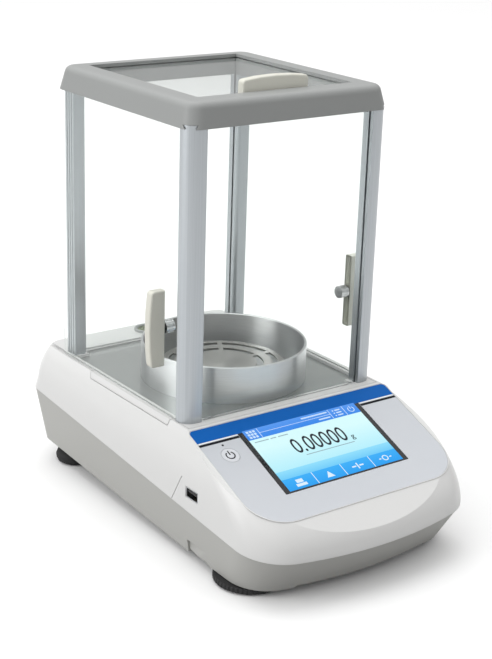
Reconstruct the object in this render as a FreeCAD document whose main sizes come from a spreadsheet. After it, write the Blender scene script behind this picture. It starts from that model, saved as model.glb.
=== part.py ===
"""Analytical balance with a glass weighing chamber, as an assembly of separate named pieces.

Millimetres. +X is the right side, -Y the front with the display, +Z up. The origin is under the
middle of the balance, on the surface that its feet stand on.
"""
import FreeCAD, Part
import math
import os
import Sketcher

doc = FreeCAD.newDocument("AnalyticalBalance")
V = FreeCAD.Vector

# Each row: name, value in millimetres or degrees, what it is.
DIMENSIONS = [
    ("housing_width", 206, "widest, at the parting line of the two housing shells"),
    ("housing_depth", 348, "twice the distance of the nose from the chamber's datum"),
    ("tail_depth", 181, "rear of the housing behind the datum"),
    ("tail_lean", 11, "how far the rear leans forward from parting line to deck"),
    ("wall", 2.5, "wall of the housing shells"),
    ("parting_height", 49.6, "height of the parting line at the middle"),
    ("parting_tilt", 4.4, "slope of the parting line, down to the front"),
    ("deck_height", 102, "top of the chamber deck"),
    ("shoulder_width", 187, "width of the housing at the deck"),
    ("front_corner", 38, "radius of the front corners in plan"),
    ("rear_corner", 13, "radius of the rear corners in plan"),
    ("nose_bow", 311, "radius of the bowed front in plan"),
    ("nose_setback", 79, "how far the front leans back from parting line to deck"),
    ("base_width", 190, "width of the lower housing at its bottom edge"),
    ("base_setback", 28, "how far the bottom edge lies behind the front"),
    ("base_tail_setback", 12.3, "how far the bottom edge lies in front of the rear"),
    ("tail_step_y", 166.5, "rear face of the lower housing below its step"),
    ("tail_step_z", 29.5, "height of the step at the rear"),
    ("base_height", 9, "height of the bottom edge at the middle"),
    ("base_tilt", 2.7, "slope of the bottom edge"),
    ("foot_lobe_height", 6.3, "bottom of the lobes over the front feet"),
    ("foot_lobe_rise", 2.2, "how far the bottom between the lobes lies above them"),
    ("foot_lobe_inner", 62, "inner side of the lobes from the middle"),
    ("panel_front", 52.3, "top edge of the display panel, in front of the middle"),
    ("panel_tilt", 21.5, "slope of the display panel"),
    ("nose_tilt", 36.5, "slope of the facet below the display panel"),
    ("overlay_width", 190, "membrane overlay"),
    ("overlay_height", 104.5, "membrane overlay along the slope"),
    ("overlay_margin", 1.5, "overlay below the top edge of the panel"),
    ("overlay_thickness", 0.8, "membrane overlay"),
    ("overlay_corner", 30, "lower corners of the overlay"),
    ("overlay_small_corner", 4, "upper corners of the overlay"),
    ("deck_gap", 0.6, "gap between the chamber deck and the housing round it"),
    ("fit_gap", 0.3, "clearance between pieces that are set into each other"),
    ("screen_width", 117, "touch screen"),
    ("screen_height", 69, "touch screen"),
    ("screen_drop", 47, "middle of the screen below the top edge of the panel"),
    ("screen_thickness", 1.8, "touch screen glass"),
    ("module_thickness", 6, "display module behind the glass"),
    ("power_x", -76.5, "power key from the middle"),
    ("power_drop", 33, "power key below the top edge of the panel"),
    ("power_radius", 7, "power key"),
    ("power_travel", 0.5, "travel of the power key"),
    ("power_stem", 3, "radius of the stem of the power key"),
    ("light_drop", 22, "status light below the top edge of the panel"),
    ("light_radius", 0.9, "status light"),
    ("deck_width", 183, "chamber deck at the rear"),
    ("deck_front", 50, "front edge of the deck, in front of the middle"),
    ("deck_back", 166, "rear edge of the opening under the deck"),
    ("deck_thickness", 7, "chamber deck"),
    ("deck_ledge", 3.5, "ledge of the housing under the deck"),
    ("skirt_drop", 4.5, "how far the deck reaches down over the shoulders"),
    ("skirt_front", 28, "front end of the deck's skirts, in front of the middle"),
    ("skirt_back", 96, "rear end of the deck's skirts"),
    ("plate_width", 170, "chamber floor plate between the doors"),
    ("plate_inner_width", 145, "floor plate between the columns"),
    ("plate_thickness", 1.5, "chamber floor plate"),
    ("plate_recess", 2.5, "top of the floor plate below the deck"),
    ("chamber_front", 44, "front of the front columns, in front of the middle"),
    ("column_outer", 91.5, "outside of the front columns from the middle"),
    ("column_width", 15.5, "front column across"),
    ("column_depth", 12, "front column front to back"),
    ("column_round", 10.5, "outer rounding of the front columns"),
    ("rear_column_outer", 85.6, "outside of the rear columns from the middle"),
    ("rear_column_width", 11.6, "rear column across"),
    ("rear_column_front", 128.7, "front of the rear columns behind the middle"),
    ("rear_column_depth", 13, "rear column front to back"),
    ("rear_column_round", 3.5, "inner rounding of the rear columns"),
    ("socket_depth", 3, "how far columns and panes enter the top frame"),
    ("frame_bottom", 324, "underside of the top frame"),
    ("frame_height", 18.5, "top frame"),
    ("frame_width", 185, "top frame across"),
    ("frame_front", 45.5, "front of the top frame, in front of the middle"),
    ("frame_back", 147.5, "back of the top frame"),
    ("frame_corner", 12, "corners of the top frame in plan"),
    ("frame_round", 6, "rounding of the outer top edges of the frame"),
    ("frame_draft", 12, "degrees that the frame's sides lean inwards"),
    ("frame_opening", 142, "opening of the top frame across"),
    ("opening_front", 22.9, "front of the opening, in front of the middle"),
    ("opening_back", 130, "back of the opening"),
    ("glass", 2, "thickness of the fixed panes and the top pane"),
    ("door_glass", 1.8, "thickness of the side panes"),
    ("door_outer", 89.6, "outside of the side panes from the middle"),
    ("groove_gap", 0.5, "clearance of a pane in its groove"),
    ("pane_lap", 3, "how far a pane enters a column or the frame"),
    ("top_glass_drop", 3, "top pane below the top of the frame"),
    ("top_glass_tail", 4, "top pane behind the opening"),
    ("grip_length", 60, "door grip"),
    ("grip_depth", 7.5, "door grip"),
    ("grip_reach", 13.4, "door grip out from the glass"),
    ("grip_shoulder", 11.4, "ends of the grip out from the glass"),
    ("grip_wall", 1.8, "walls of the hollow grip"),
    ("grip_boss", 10, "solid middle of the grip that takes the knob's screw"),
    ("grip_height", 169, "middle of the side grips"),
    ("grip_front", 12.4, "front of the side grips, in front of the middle"),
    ("top_grip_front", 21, "front of the top grip, in front of the middle"),
    ("knob_radius", 5, "clamping knob inside a door"),
    ("knob_length", 7.5, "clamping knob"),
    ("knob_screw", 1.9, "radius of the knob's screw"),
    ("knob_screw_length", 7, "screw beyond the inner face of the glass"),
    ("pan_y", 36.6, "middle of the weighing pan behind the middle"),
    ("ring_radius", 67, "draft ring outside"),
    ("ring_wall", 2.2, "draft ring"),
    ("ring_height", 30, "draft ring"),
    ("rest_gap", 0.1, "gap below pieces that lift off"),
    ("pan_top", 110, "top of the weighing pan"),
    ("pan_radius", 50, "weighing pan"),
    ("pan_thickness", 1.6, "weighing pan"),
    ("pan_disc", 27, "middle disc of the pan"),
    ("pan_rib", 4, "arms of the pan"),
    ("pan_socket", 7, "socket under the pan"),
    ("pan_socket_length", 6, "socket under the pan"),
    ("shaft_radius", 4, "pan carrier shaft"),
    ("shaft_bore", 8, "hole in deck and floor plate for the shaft"),
    ("level_y", 154, "middle of the bubble level"),
    ("level_radius", 11, "bezel of the bubble level"),
    ("foot_x", 75, "front feet from the middle"),
    ("foot_y", -109, "front feet"),
    ("wheel_radius", 27.5, "levelling wheel"),
    ("wheel_bottom", 1.5, "underside of the levelling wheel"),
    ("wheel_thickness", 4.3, "levelling wheel"),
    ("notch_radius", 1.1, "grip notches of the levelling wheel"),
    ("stud_radius", 3, "levelling stud"),
    ("stud_top", 30, "top of the levelling stud"),
    ("running_gap", 0.05, "clearance of a turning fit"),
    ("boss_radius", 8, "bosses for the levelling studs"),
    ("pad_radius", 17, "pad under the levelling wheel"),
    ("rear_foot_x", 79, "rear feet from the middle"),
    ("rear_foot_y", 143, "rear feet"),
    ("rear_foot_radius", 17, "rear foot at its widest"),
    ("rear_foot_height", 14, "rear foot"),
    ("port_y", -72.2, "side USB port"),
    ("port_height", 60, "side USB port"),
    ("port_inset", 0.3, "how far the port's shell stands back from the widest part of the wall"),
    ("screw_radius", 2, "screws that hold the columns"),
    ("port_width", 15.6, "side USB port"),
    ("port_rise", 8.2, "side USB port"),
    ("port_depth", 14, "side USB port"),
    ("rear_panel_width", 118, "connector plate at the back"),
    ("rear_panel_rise", 26, "connector plate"),
    ("rear_panel_z", 32, "bottom of the connector plate"),
    ("rear_panel_y", 170, "back face of the connector plate"),
    ("rear_panel_thickness", 2, "connector plate"),
    ("board_thickness", 1.6, "circuit boards"),
    ("cell_bottom", 26, "underside of the weighing cell"),
    ("lift_travel", 3, "travel of the adjustment weight's lifter"),
]


class Size:
    """A length together with the spreadsheet formula that gives it."""

    def __init__(self, value, formula):
        self.value = value
        self.formula = formula

    def __add__(self, other):
        other = as_size(other)
        return Size(self.value + other.value, f"({self.formula} + {other.formula})")

    def __sub__(self, other):
        other = as_size(other)
        return Size(self.value - other.value, f"({self.formula} - {other.formula})")

    def __mul__(self, other):
        other = as_size(other)
        return Size(self.value * other.value, f"({self.formula} * {other.formula})")

    def __truediv__(self, other):
        other = as_size(other)
        return Size(self.value / other.value, f"({self.formula} / {other.formula})")

    def __neg__(self):
        return Size(-self.value, f"(0 - {self.formula})")

    def __radd__(self, other):
        return as_size(other) + self

    def __rsub__(self, other):
        return as_size(other) - self

    def __rmul__(self, other):
        return as_size(other) * self


def as_size(item):
    return item if isinstance(item, Size) else Size(float(item), f"({float(item)})")


class Sizes:
    """The spreadsheet's cells by name."""


def make_sheet():
    """Write the dimensions into a spreadsheet and give each cell back as a Size."""
    sheet = doc.addObject("Spreadsheet::Sheet", "Sizes")
    sizes = Sizes()
    for number, (name, value, note) in enumerate(DIMENSIONS, start=1):
        sheet.set(f"A{number}", name)
        sheet.set(f"B{number}", str(value))
        sheet.set(f"C{number}", note)
        sheet.setAlias(f"B{number}", name)
        setattr(sizes, name, Size(float(value), f"Sizes.{name}"))
    doc.recompute()
    return sizes


S = make_sheet()
EXPORTS = []


# ---- helpers: bodies, sketches, features ----

def bind(item, prop, size):
    item.setExpression(prop, as_size(size).formula)


def place(item, x=0, y=0, z=0):
    """Put a piece at a place given from the datum, which is a little in front of the middle of the whole."""
    datum_to_middle = (S.tail_depth - S.housing_depth / 2) / 2
    bind(item, "Placement.Base.x", x)
    bind(item, "Placement.Base.y", y - datum_to_middle)
    bind(item, "Placement.Base.z", z)
    return item


def turn(item, axis, angle):
    """Turn a body about an axis through its own origin."""
    item.Placement = FreeCAD.Placement(item.Placement.Base, FreeCAD.Rotation(V(*axis), as_size(angle).value))
    if isinstance(angle, Size):
        bind(item, "Placement.Rotation.Angle", angle)
    return item


def new_body(label):
    body = doc.addObject("PartDesign::Body", label)
    body.Label = label
    EXPORTS.append(body)
    return place(body)


def plane_of(body, role):
    return [item for item in body.Origin.OriginFeatures if item.Role == role][0]


def sketch_on(body, plane, offset):
    sketch = body.newObject("Sketcher::SketchObject", body.Name + "_sketch")
    sketch.AttachmentSupport = [(plane_of(body, plane), "")]
    sketch.MapMode = "FlatFace"
    bind(sketch, "AttachmentOffset.Base.z", offset)
    return sketch


def pin_point(sketch, edge, point, across, up):
    for kind, size in (("DistanceX", as_size(across)), ("DistanceY", as_size(up))):
        number = sketch.addConstraint(Sketcher.Constraint(kind, -1, 1, edge, point, size.value))
        sketch.setExpression(f"Constraints[{number}]", size.formula)


def draw_polygon(sketch, corners):
    first = sketch.GeometryCount
    count = len(corners)
    points = [V(as_size(across).value, as_size(up).value, 0) for across, up in corners]
    for number in range(count):
        sketch.addGeometry(Part.LineSegment(points[number], points[(number + 1) % count]), False)
    for number in range(count):
        following = first + (number + 1) % count
        sketch.addConstraint(Sketcher.Constraint("Coincident", first + number, 2, following, 1))
    for number, (across, up) in enumerate(corners):
        pin_point(sketch, first + number, 1, across, up)


def draw_circle(sketch, across, up, radius):
    centre = V(as_size(across).value, as_size(up).value, 0)
    edge = sketch.addGeometry(Part.Circle(centre, V(0, 0, 1), as_size(radius).value), False)
    pin_point(sketch, edge, 3, across, up)
    number = sketch.addConstraint(Sketcher.Constraint("Radius", edge, as_size(radius).value))
    bind(sketch, f"Constraints[{number}]", radius)


def draw(sketch, shapes):
    """Each shape is a list of corners, or a circle as (across, up, radius)."""
    for shape in shapes:
        if isinstance(shape, tuple):
            draw_circle(sketch, *shape)
        else:
            draw_polygon(sketch, shape)


def rectangle(left, right, low, high):
    return [(left, low), (right, low), (right, high), (left, high)]


def slab(body, plane, start, end, shapes, cut=False):
    """Add or cut the shapes between two distances along the plane's axis (X, Y or Z)."""
    flipped = plane == "XZ_Plane"
    from_end = cut != flipped
    offset = as_size(end if from_end else start)
    sketch = sketch_on(body, plane, -offset if flipped else offset)
    draw(sketch, shapes)
    kind = "PartDesign::Pocket" if cut else "PartDesign::Pad"
    feature = body.newObject(kind, body.Name + ("_cut" if cut else "_pad"))
    feature.Profile = sketch
    bind(feature, "Length", as_size(end) - as_size(start))
    return feature


def block(label, left, right, front, back, low, high):
    """A straight block as a body of its own."""
    body = new_body(label)
    slab(body, "XY_Plane", low, high, [rectangle(left, right, front, back)])
    return body


def turned(label, half_section):
    """A round part: its half section (radius, height) turned about its own axis."""
    body = new_body(label)
    sketch = sketch_on(body, "XZ_Plane", 0)
    draw(sketch, [half_section])
    feature = body.newObject("PartDesign::Revolution", body.Name + "_turn")
    feature.Profile = sketch
    feature.ReferenceAxis = (sketch, ["V_Axis"])
    feature.Angle = 360
    return body


def repeat_round(body, feature, count):
    """Repeat a feature about the body's own Z axis."""
    pattern = body.newObject("PartDesign::PolarPattern", body.Name + "_pattern")
    pattern.Originals = [feature]
    pattern.Axis = (feature.Profile[0], ["N_Axis"])
    pattern.Angle = 360
    pattern.Occurrences = count
    body.Tip = pattern
    return pattern


def round_edges(body, radius, choose):
    """Round the edges of the body so far that the test picks."""
    doc.recompute()
    base = body.Tip
    picked = [f"Edge{number}" for number, edge in enumerate(base.Shape.Edges, start=1) if choose(edge)]
    feature = body.newObject("PartDesign::Fillet", body.Name + "_round")
    feature.Base = (base, picked)
    bind(feature, "Radius", radius)
    doc.recompute()
    return feature


def runs_along(edge, axis):
    """True for a straight edge parallel to the axis."""
    if edge.Curve.TypeId != "Part::GeomLine":
        return False
    return abs(abs(edge.Curve.Direction.dot(V(*axis))) - 1) < 1e-6


def middle(edge):
    return edge.BoundBox.Center


def shape_node(label, shape):
    """A piece whose free form is worked out with Part's own functions."""
    item = doc.addObject("Part::Feature", label)
    item.Label = label
    item.Shape = shape
    EXPORTS.append(item)
    return place(item)


# ---- the free form of the housing ----

def plan_outline(half_width, front, back, front_corner, rear_corner, bow):
    """Closed outline: straight sides and back, bowed front, four round corners."""
    corner_x = half_width - front_corner
    bow_y = front + bow
    corner_y = bow_y - math.sqrt((bow - front_corner) ** 2 - corner_x ** 2)
    share = bow / (bow - front_corner)
    meet_x = corner_x * share
    meet_y = bow_y + (corner_y - bow_y) * share
    reach = front_corner / math.sqrt(2)
    rear_reach = rear_corner / math.sqrt(2)
    rear_x = half_width - rear_corner
    rear_y = back - rear_corner
    side_turn = V(corner_x + reach, corner_y - reach, 0)
    rear_turn = V(rear_x + rear_reach, rear_y + rear_reach, 0)
    right = [V(meet_x, meet_y, 0), side_turn, V(half_width, corner_y, 0),
             V(half_width, rear_y, 0), rear_turn, V(rear_x, back, 0)]
    left = [V(-point.x, point.y, 0) for point in right]
    edges = [
        Part.Arc(left[0], V(0, front, 0), right[0]),
        Part.Arc(right[0], right[1], right[2]),
        Part.LineSegment(right[2], right[3]),
        Part.Arc(right[3], right[4], right[5]),
        Part.LineSegment(right[5], left[5]),
        Part.Arc(left[5], left[4], left[3]),
        Part.LineSegment(left[3], left[2]),
        Part.Arc(left[2], left[1], left[0]),
    ]
    return Part.Wire([edge.toShape() for edge in edges])


def tilted(wire, height, angle):
    wire.rotate(V(0, 0, 0), V(1, 0, 0), angle)
    wire.translate(V(0, 0, height))
    return wire


def upper_skin(inset):
    """The upper housing's outside as a solid, drawn in by the inset."""
    half_width = S.housing_width.value / 2
    half_depth = S.housing_depth.value / 2
    narrowing = half_width - S.shoulder_width.value / 2
    rise = S.deck_height.value - S.parting_height.value
    wires = []
    for share in (0.0, 0.22, 0.42, 0.68, 0.9, 1.0):
        wire = plan_outline(
            half_width - narrowing * share ** 4 - inset,
            -half_depth + S.nose_setback.value * share ** 1.8 + inset,
            S.tail_depth.value - S.tail_lean.value * share ** 0.6 - inset,
            S.front_corner.value - 8 * share - inset,
            S.rear_corner.value + 3 * share - inset,
            S.nose_bow.value - inset)
        wires.append(tilted(wire, S.parting_height.value + rise * share, S.parting_tilt.value * (1 - share)))
    return Part.makeLoft(wires, True, False)


def lower_skin(inset, drop):
    """The lower housing's outside as a solid, drawn in by the inset and let down by the drop."""
    half_depth = S.housing_depth.value / 2
    reveal = 0.4
    top = plan_outline(
        S.housing_width.value / 2 - reveal - inset, -half_depth + reveal + inset,
        S.tail_depth.value - reveal - inset, S.front_corner.value - inset,
        S.rear_corner.value - inset, S.nose_bow.value - inset)
    bottom = plan_outline(
        S.base_width.value / 2 - inset, -half_depth + S.base_setback.value + inset,
        S.tail_depth.value - S.base_tail_setback.value - inset, S.front_corner.value - 8 - inset,
        S.rear_corner.value - 4 - inset, S.nose_bow.value - inset)
    tilted(top, S.parting_height.value, S.parting_tilt.value)
    tilted(bottom, S.base_height.value - drop, S.base_tilt.value)
    return Part.makeLoft([bottom, top], True, True)


def side_prism(points, half_width):
    """A prism across the housing from corners (y, z)."""
    corners = [V(-half_width, y, z) for y, z in points]
    face = Part.Face(Part.makePolygon(corners + corners[:1]))
    return face.extrude(V(2 * half_width, 0, 0))


def box_between(left, right, front, back, low, high):
    return Part.makeBox(right - left, back - front, high - low, V(left, front, low))


def above_panel(drop):
    """Everything above the sloped front: display panel and nose facet, let down by the drop."""
    top_y = -S.panel_front.value
    top_z = S.deck_height.value
    panel = math.radians(S.panel_tilt.value)
    nose = math.radians(S.nose_tilt.value)
    panel_length = S.overlay_margin.value + S.overlay_height.value
    edge_y = top_y - panel_length * math.cos(panel)
    edge_z = top_z - panel_length * math.sin(panel)
    far_y = -S.housing_depth.value
    far_z = edge_z - (edge_y - far_y) * math.tan(nose)
    step = drop / math.cos(panel)
    high = top_z + 50
    points = [(top_y, high), (top_y, top_z - step), (edge_y, edge_z - step), (far_y, far_z - step),
              (far_y, high)]
    return side_prism(points, S.housing_width.value)


def deck_zone(gap):
    """The room that the chamber deck takes: the deck itself and its skirts over the shoulders."""
    half = S.deck_width.value / 2 - gap
    low = S.deck_height.value - S.deck_thickness.value
    high = S.deck_height.value + 5
    front = -S.deck_front.value + gap
    plate = box_between(-half, half, front, S.tail_depth.value + 10, low, high)
    skirt_low = S.deck_height.value - S.skirt_drop.value + gap
    skirt_front = -S.skirt_front.value + gap
    skirt_back = S.skirt_back.value - gap
    slant = high - skirt_low
    points = [(skirt_front, skirt_low), (skirt_back - slant, skirt_low), (skirt_back, high),
              (skirt_front, high)]
    return plate.fuse(side_prism(points, S.housing_width.value))


def door_tracks():
    """The two grooves that the side panes run in, open to the back."""
    outer = S.door_outer.value + S.groove_gap.value
    inner = S.door_outer.value - S.door_glass.value - S.groove_gap.value
    low = S.deck_height.value - 3.5
    front = -S.chamber_front.value + S.column_depth.value - 2.5
    tool = box_between(inner, outer, front, S.housing_depth.value, low, low + 30)
    return tool.fuse(tool.mirror(V(0, 0, 0), V(1, 0, 0)))


def on_panel(shape):
    """Move a shape from the panel's own frame, at the middle of its top edge, into place."""
    shape.rotate(V(0, 0, 0), V(1, 0, 0), S.panel_tilt.value)
    shape.translate(V(0, -S.panel_front.value, S.deck_height.value))
    return shape


def overlay_outline(gap):
    """The overlay's outline in the panel's frame, grown by the gap."""
    half = S.overlay_width.value / 2 + gap
    high = -S.overlay_margin.value + gap
    low = -S.overlay_margin.value - S.overlay_height.value - gap
    plate = box_between(-half, half, low, high, -1, 1)
    lower = [edge for edge in plate.Edges if runs_along(edge, (0, 0, 1)) and edge.BoundBox.YMin < low + 1]
    plate = plate.makeFillet(S.overlay_corner.value, lower)
    upper = [edge for edge in plate.Edges if runs_along(edge, (0, 0, 1)) and edge.BoundBox.YMin > high - 1]
    return plate.makeFillet(S.overlay_small_corner.value, upper)


def panel_openings():
    """Cuts in the sloped panel: overlay recess, screen window, key and light holes, in place."""
    depth = S.overlay_thickness.value + 0.1
    recess = overlay_outline(S.fit_gap.value)
    recess.translate(V(0, 0, 1 - depth))
    half = S.screen_width.value / 2 + S.fit_gap.value
    low = -S.screen_drop.value - S.screen_height.value / 2 - S.fit_gap.value
    high = -S.screen_drop.value + S.screen_height.value / 2 + S.fit_gap.value
    window = box_between(-half, half, low, high, -10, 5)
    key = Part.makeCylinder(S.power_radius.value + 0.4, 15, V(S.power_x.value, -S.power_drop.value, -10))
    light = Part.makeCylinder(S.light_radius.value + 0.1, 15, V(S.power_x.value, -S.light_drop.value, -10))
    return on_panel(recess.fuse([window, key, light]))


def port_hole(gap):
    """The opening of the side USB port through the left wall."""
    half_y = S.port_width.value / 2 + gap
    half_z = S.port_rise.value / 2 + gap
    left = -S.housing_width.value / 2 - 5
    return box_between(left, left + 25, S.port_y.value - half_y, S.port_y.value + half_y,
                       S.port_height.value - half_z, S.port_height.value + half_z)


def scribed_line():
    """A shallow scribed line beside the USB port, down to the parting line."""
    width = 0.7
    low_y, low_z = -46.0, 46.5
    high_y, high_z = -59.0, 70.0
    points = [(low_y, low_z), (high_y, high_z), (high_y + width, high_z), (low_y + width, low_z)]
    line = side_prism(points, S.housing_width.value / 2 + 5)
    keep = S.housing_width.value / 2 - 0.9
    return line.cut(box_between(-keep, 2 * keep, -200, 200, 0, 200))


def upper_housing():
    """Upper shell: round shoulders, sloped display panel, seat for the chamber deck."""
    outer = upper_skin(0).cut(above_panel(0))
    wall = S.wall.value
    inner = upper_skin(wall).cut(above_panel(wall))
    ledge_z = S.deck_height.value - S.deck_thickness.value - wall
    big = S.housing_depth.value
    inner = inner.cut(box_between(-big, big, -big, big, ledge_z, ledge_z + 100))
    half = S.deck_width.value / 2 - S.deck_ledge.value
    well = box_between(-half, half, -S.deck_front.value + 2, S.deck_back.value, ledge_z - 1, ledge_z + 20)
    shell = outer.cut([inner, deck_zone(0), well, panel_openings(), port_hole(S.fit_gap.value),
                       door_tracks(), scribed_line()])
    return shape_node("upper_housing", shell.removeSplitter())


def chamber_deck():
    """Deck under the chamber: recess for the floor plate, tracks for the doors, holes."""
    body = upper_skin(0).cut(above_panel(0)).common(deck_zone(S.deck_gap.value))
    top = S.deck_height.value
    recess_z = top - S.plate_recess.value - S.plate_thickness.value
    recess = plate_outline(0.3, recess_z, top + 10)
    bore = Part.makeCylinder(S.shaft_bore.value + 2, 30, V(0, S.pan_y.value, top - 20))
    level = Part.makeCylinder(S.level_radius.value - 2 + S.running_gap.value, 30,
                              V(0, S.level_y.value, top - 20))
    tools = [recess, bore, level, door_tracks()]
    for x, y in column_centres():
        tools.append(Part.makeCylinder(S.screw_radius.value + 0.3, 40, V(x, y, top - 20)))
    return shape_node("chamber_deck", body.cut(tools).removeSplitter())


def column_centres():
    """Middle of each column in plan, where its screw goes."""
    front_x = S.column_outer.value - S.column_width.value / 2
    front_y = -S.chamber_front.value + S.column_depth.value / 2 + 1.5
    rear_x = S.rear_column_outer.value - S.rear_column_width.value / 2
    rear_y = S.rear_column_front.value + 9.5
    return [(-front_x, front_y), (front_x, front_y), (-rear_x, rear_y), (rear_x, rear_y)]


def plate_outline(gap, low, high):
    """The floor plate's plan between two heights, grown by the gap."""
    wide = S.plate_width.value / 2 + gap
    narrow = S.plate_inner_width.value / 2 + gap
    front = -S.chamber_front.value + S.column_depth.value + 1.2 - gap
    back = S.rear_column_front.value - 1.2 + gap
    far_front = -S.chamber_front.value + 2.0 - gap
    far_back = S.rear_column_front.value + S.rear_column_depth.value - 2.0 + gap
    middle_part = box_between(-wide, wide, front, back, low, high)
    return middle_part.fuse(box_between(-narrow, narrow, far_front, far_back, low, high)).removeSplitter()


def floor_plate():
    """Steel floor of the chamber, with a hole for the pan's shaft."""
    top = S.deck_height.value - S.plate_recess.value
    plate = plate_outline(0, top - S.plate_thickness.value, top)
    bore = Part.makeCylinder(S.shaft_bore.value, 10, V(0, S.pan_y.value, top - 5))
    return shape_node("floor_plate", plate.cut(bore))


def base_cutter():
    """Everything below the bottom edge: sloped behind, level with two lobes at the front."""
    slope = math.tan(math.radians(S.base_tilt.value))
    lobe = S.foot_lobe_height.value
    raised = lobe + S.foot_lobe_rise.value
    middle_y = -60.0
    back_y = S.housing_depth.value
    rear_z = S.base_height.value + slope * back_y
    front_z = S.base_height.value + slope * middle_y
    rear = side_prism([(middle_y, -40), (back_y, -40), (back_y, rear_z), (middle_y, front_z)],
                      S.housing_width.value)
    notch = side_prism([(middle_y, -40), (middle_y, raised), (middle_y - 24, raised), (middle_y - 30, lobe),
                        (middle_y - 30, -40)], S.housing_width.value)
    front = box_between(-200, 200, -S.housing_depth.value, middle_y, -40, lobe)
    inner = S.foot_lobe_inner.value
    between = box_between(-inner, inner, -S.housing_depth.value, middle_y, -40, raised)
    behind = box_between(-200, 200, S.tail_step_y.value, back_y, -40, S.tail_step_z.value)
    cutters = [notch, front, between, behind]
    start = middle_y
    for side in (-1, 1):
        corners = [V(side * x, y, -40) for x, y in ((95.2, start), (115, start), (115, start - 26),
                                                    (98.4, start - 26))]
        face = Part.Face(Part.makePolygon(corners + corners[:1]))
        cutters.append(face.extrude(V(0, 0, 57)))
    return rear.fuse(cutters)


def lower_housing():
    """Lower shell: tapered sides, bottom plate, bosses for the feet, opening for the connectors."""
    wall = S.wall.value
    outer = lower_skin(0, 8).cut(base_cutter())
    slope = math.tan(math.radians(S.base_tilt.value))
    cavity = lower_skin(wall, -4)
    raised = S.foot_lobe_height.value + S.foot_lobe_rise.value
    big = S.housing_depth.value
    floor = box_between(-big, big, -big, -60, -20, raised + 3)
    rear_floor = side_prism([(-60, -20), (big, -20), (big, S.base_height.value + slope * big + 3),
                             (-60, raised + 3)], big)
    behind = box_between(-big, big, S.tail_step_y.value - wall, big, -40, S.tail_step_z.value + wall)
    cavity = cavity.cut([floor, rear_floor, behind])
    shell = outer.cut(cavity)
    adds = []
    holes = []
    for side in (-1, 1):
        foot = V(side * S.foot_x.value, S.foot_y.value, S.foot_lobe_height.value)
        adds.append(Part.makeCylinder(S.boss_radius.value, 18, foot))
        holes.append(Part.makeCylinder(S.stud_radius.value + S.running_gap.value, 60, foot - V(0, 0, 20)))
        rear = V(side * S.rear_foot_x.value, S.rear_foot_y.value, S.rear_foot_height.value)
        adds.append(Part.makeCylinder(S.rear_foot_radius.value - 4, 8, rear))
        holes.append(Part.makeCylinder(4, 60, rear - V(0, 0, 20)))
    half = S.rear_panel_width.value / 2 - 4
    low = S.rear_panel_z.value + 4
    high = S.rear_panel_z.value + S.rear_panel_rise.value - 4
    rear_wall = box_between(-half - 7, half + 7, S.rear_panel_y.value - 2, 210, low - 7, high + 7)
    rear_wall = rear_wall.cut(base_cutter())
    rear_wall = rear_wall.common(lower_skin(0, 8))
    holes.append(box_between(-half, half, S.rear_panel_y.value - 4, 210, low, high))
    holes.append(box_between(-half - 4.3, half + 4.3, S.rear_panel_y.value - 4, S.rear_panel_y.value,
                             low - 4.3, high + 4.3))
    shell = shell.fuse(adds + [rear_wall]).cut(holes)
    return shape_node("lower_housing", shell.removeSplitter())


# ---- operator panel ----

def panel_body(label):
    """A body in the frame of the sloped panel: X across, Y up the slope, Z out of it."""
    body = new_body(label)
    turn(body, (1, 0, 0), S.panel_tilt)
    return place(body, 0, -S.panel_front, S.deck_height)


def control_overlay():
    """Membrane overlay with the window for the screen and the holes for key and light."""
    body = panel_body("control_overlay")
    half = S.overlay_width / 2
    high = -S.overlay_margin
    low = high - S.overlay_height
    slab(body, "XY_Plane", -S.overlay_thickness, 0, [rectangle(-half, half, low, high)])
    limit = low.value + 1
    round_edges(body, S.overlay_corner,
                lambda edge: runs_along(edge, (0, 0, 1)) and middle(edge).y < limit)
    limit_high = high.value - 1
    round_edges(body, S.overlay_small_corner,
                lambda edge: runs_along(edge, (0, 0, 1)) and middle(edge).y > limit_high)
    window = screen_rectangle(S.fit_gap)
    key = (S.power_x, -S.power_drop, S.power_radius + 0.25)
    light = (S.power_x, -S.light_drop, S.light_radius + 0.1)
    slab(body, "XY_Plane", -2, 2, [window, key, light], cut=True)


def screen_rectangle(gap):
    half = S.screen_width / 2 + gap
    low = -S.screen_drop - S.screen_height / 2 - gap
    high = -S.screen_drop + S.screen_height / 2 + gap
    return rectangle(-half, half, low, high)


def screen():
    """Touch screen glass, its module and the board behind them."""
    glass = panel_body("touch_screen")
    slab(glass, "XY_Plane", -S.screen_thickness, 0, [screen_rectangle(0)])
    module = panel_body("display_module")
    back = -S.screen_thickness - S.module_thickness
    slab(module, "XY_Plane", back, -S.screen_thickness, [screen_rectangle(-1)])
    board = panel_body("display_board")
    slab(board, "XY_Plane", back - 3 - S.board_thickness, back - 3, [screen_rectangle(-3)])
    for across in (-1, 1):
        post = across * (S.screen_width / 2 - 8)
        slab(board, "XY_Plane", back - 3.2, back, [(post, -S.screen_drop, 3)])


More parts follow.
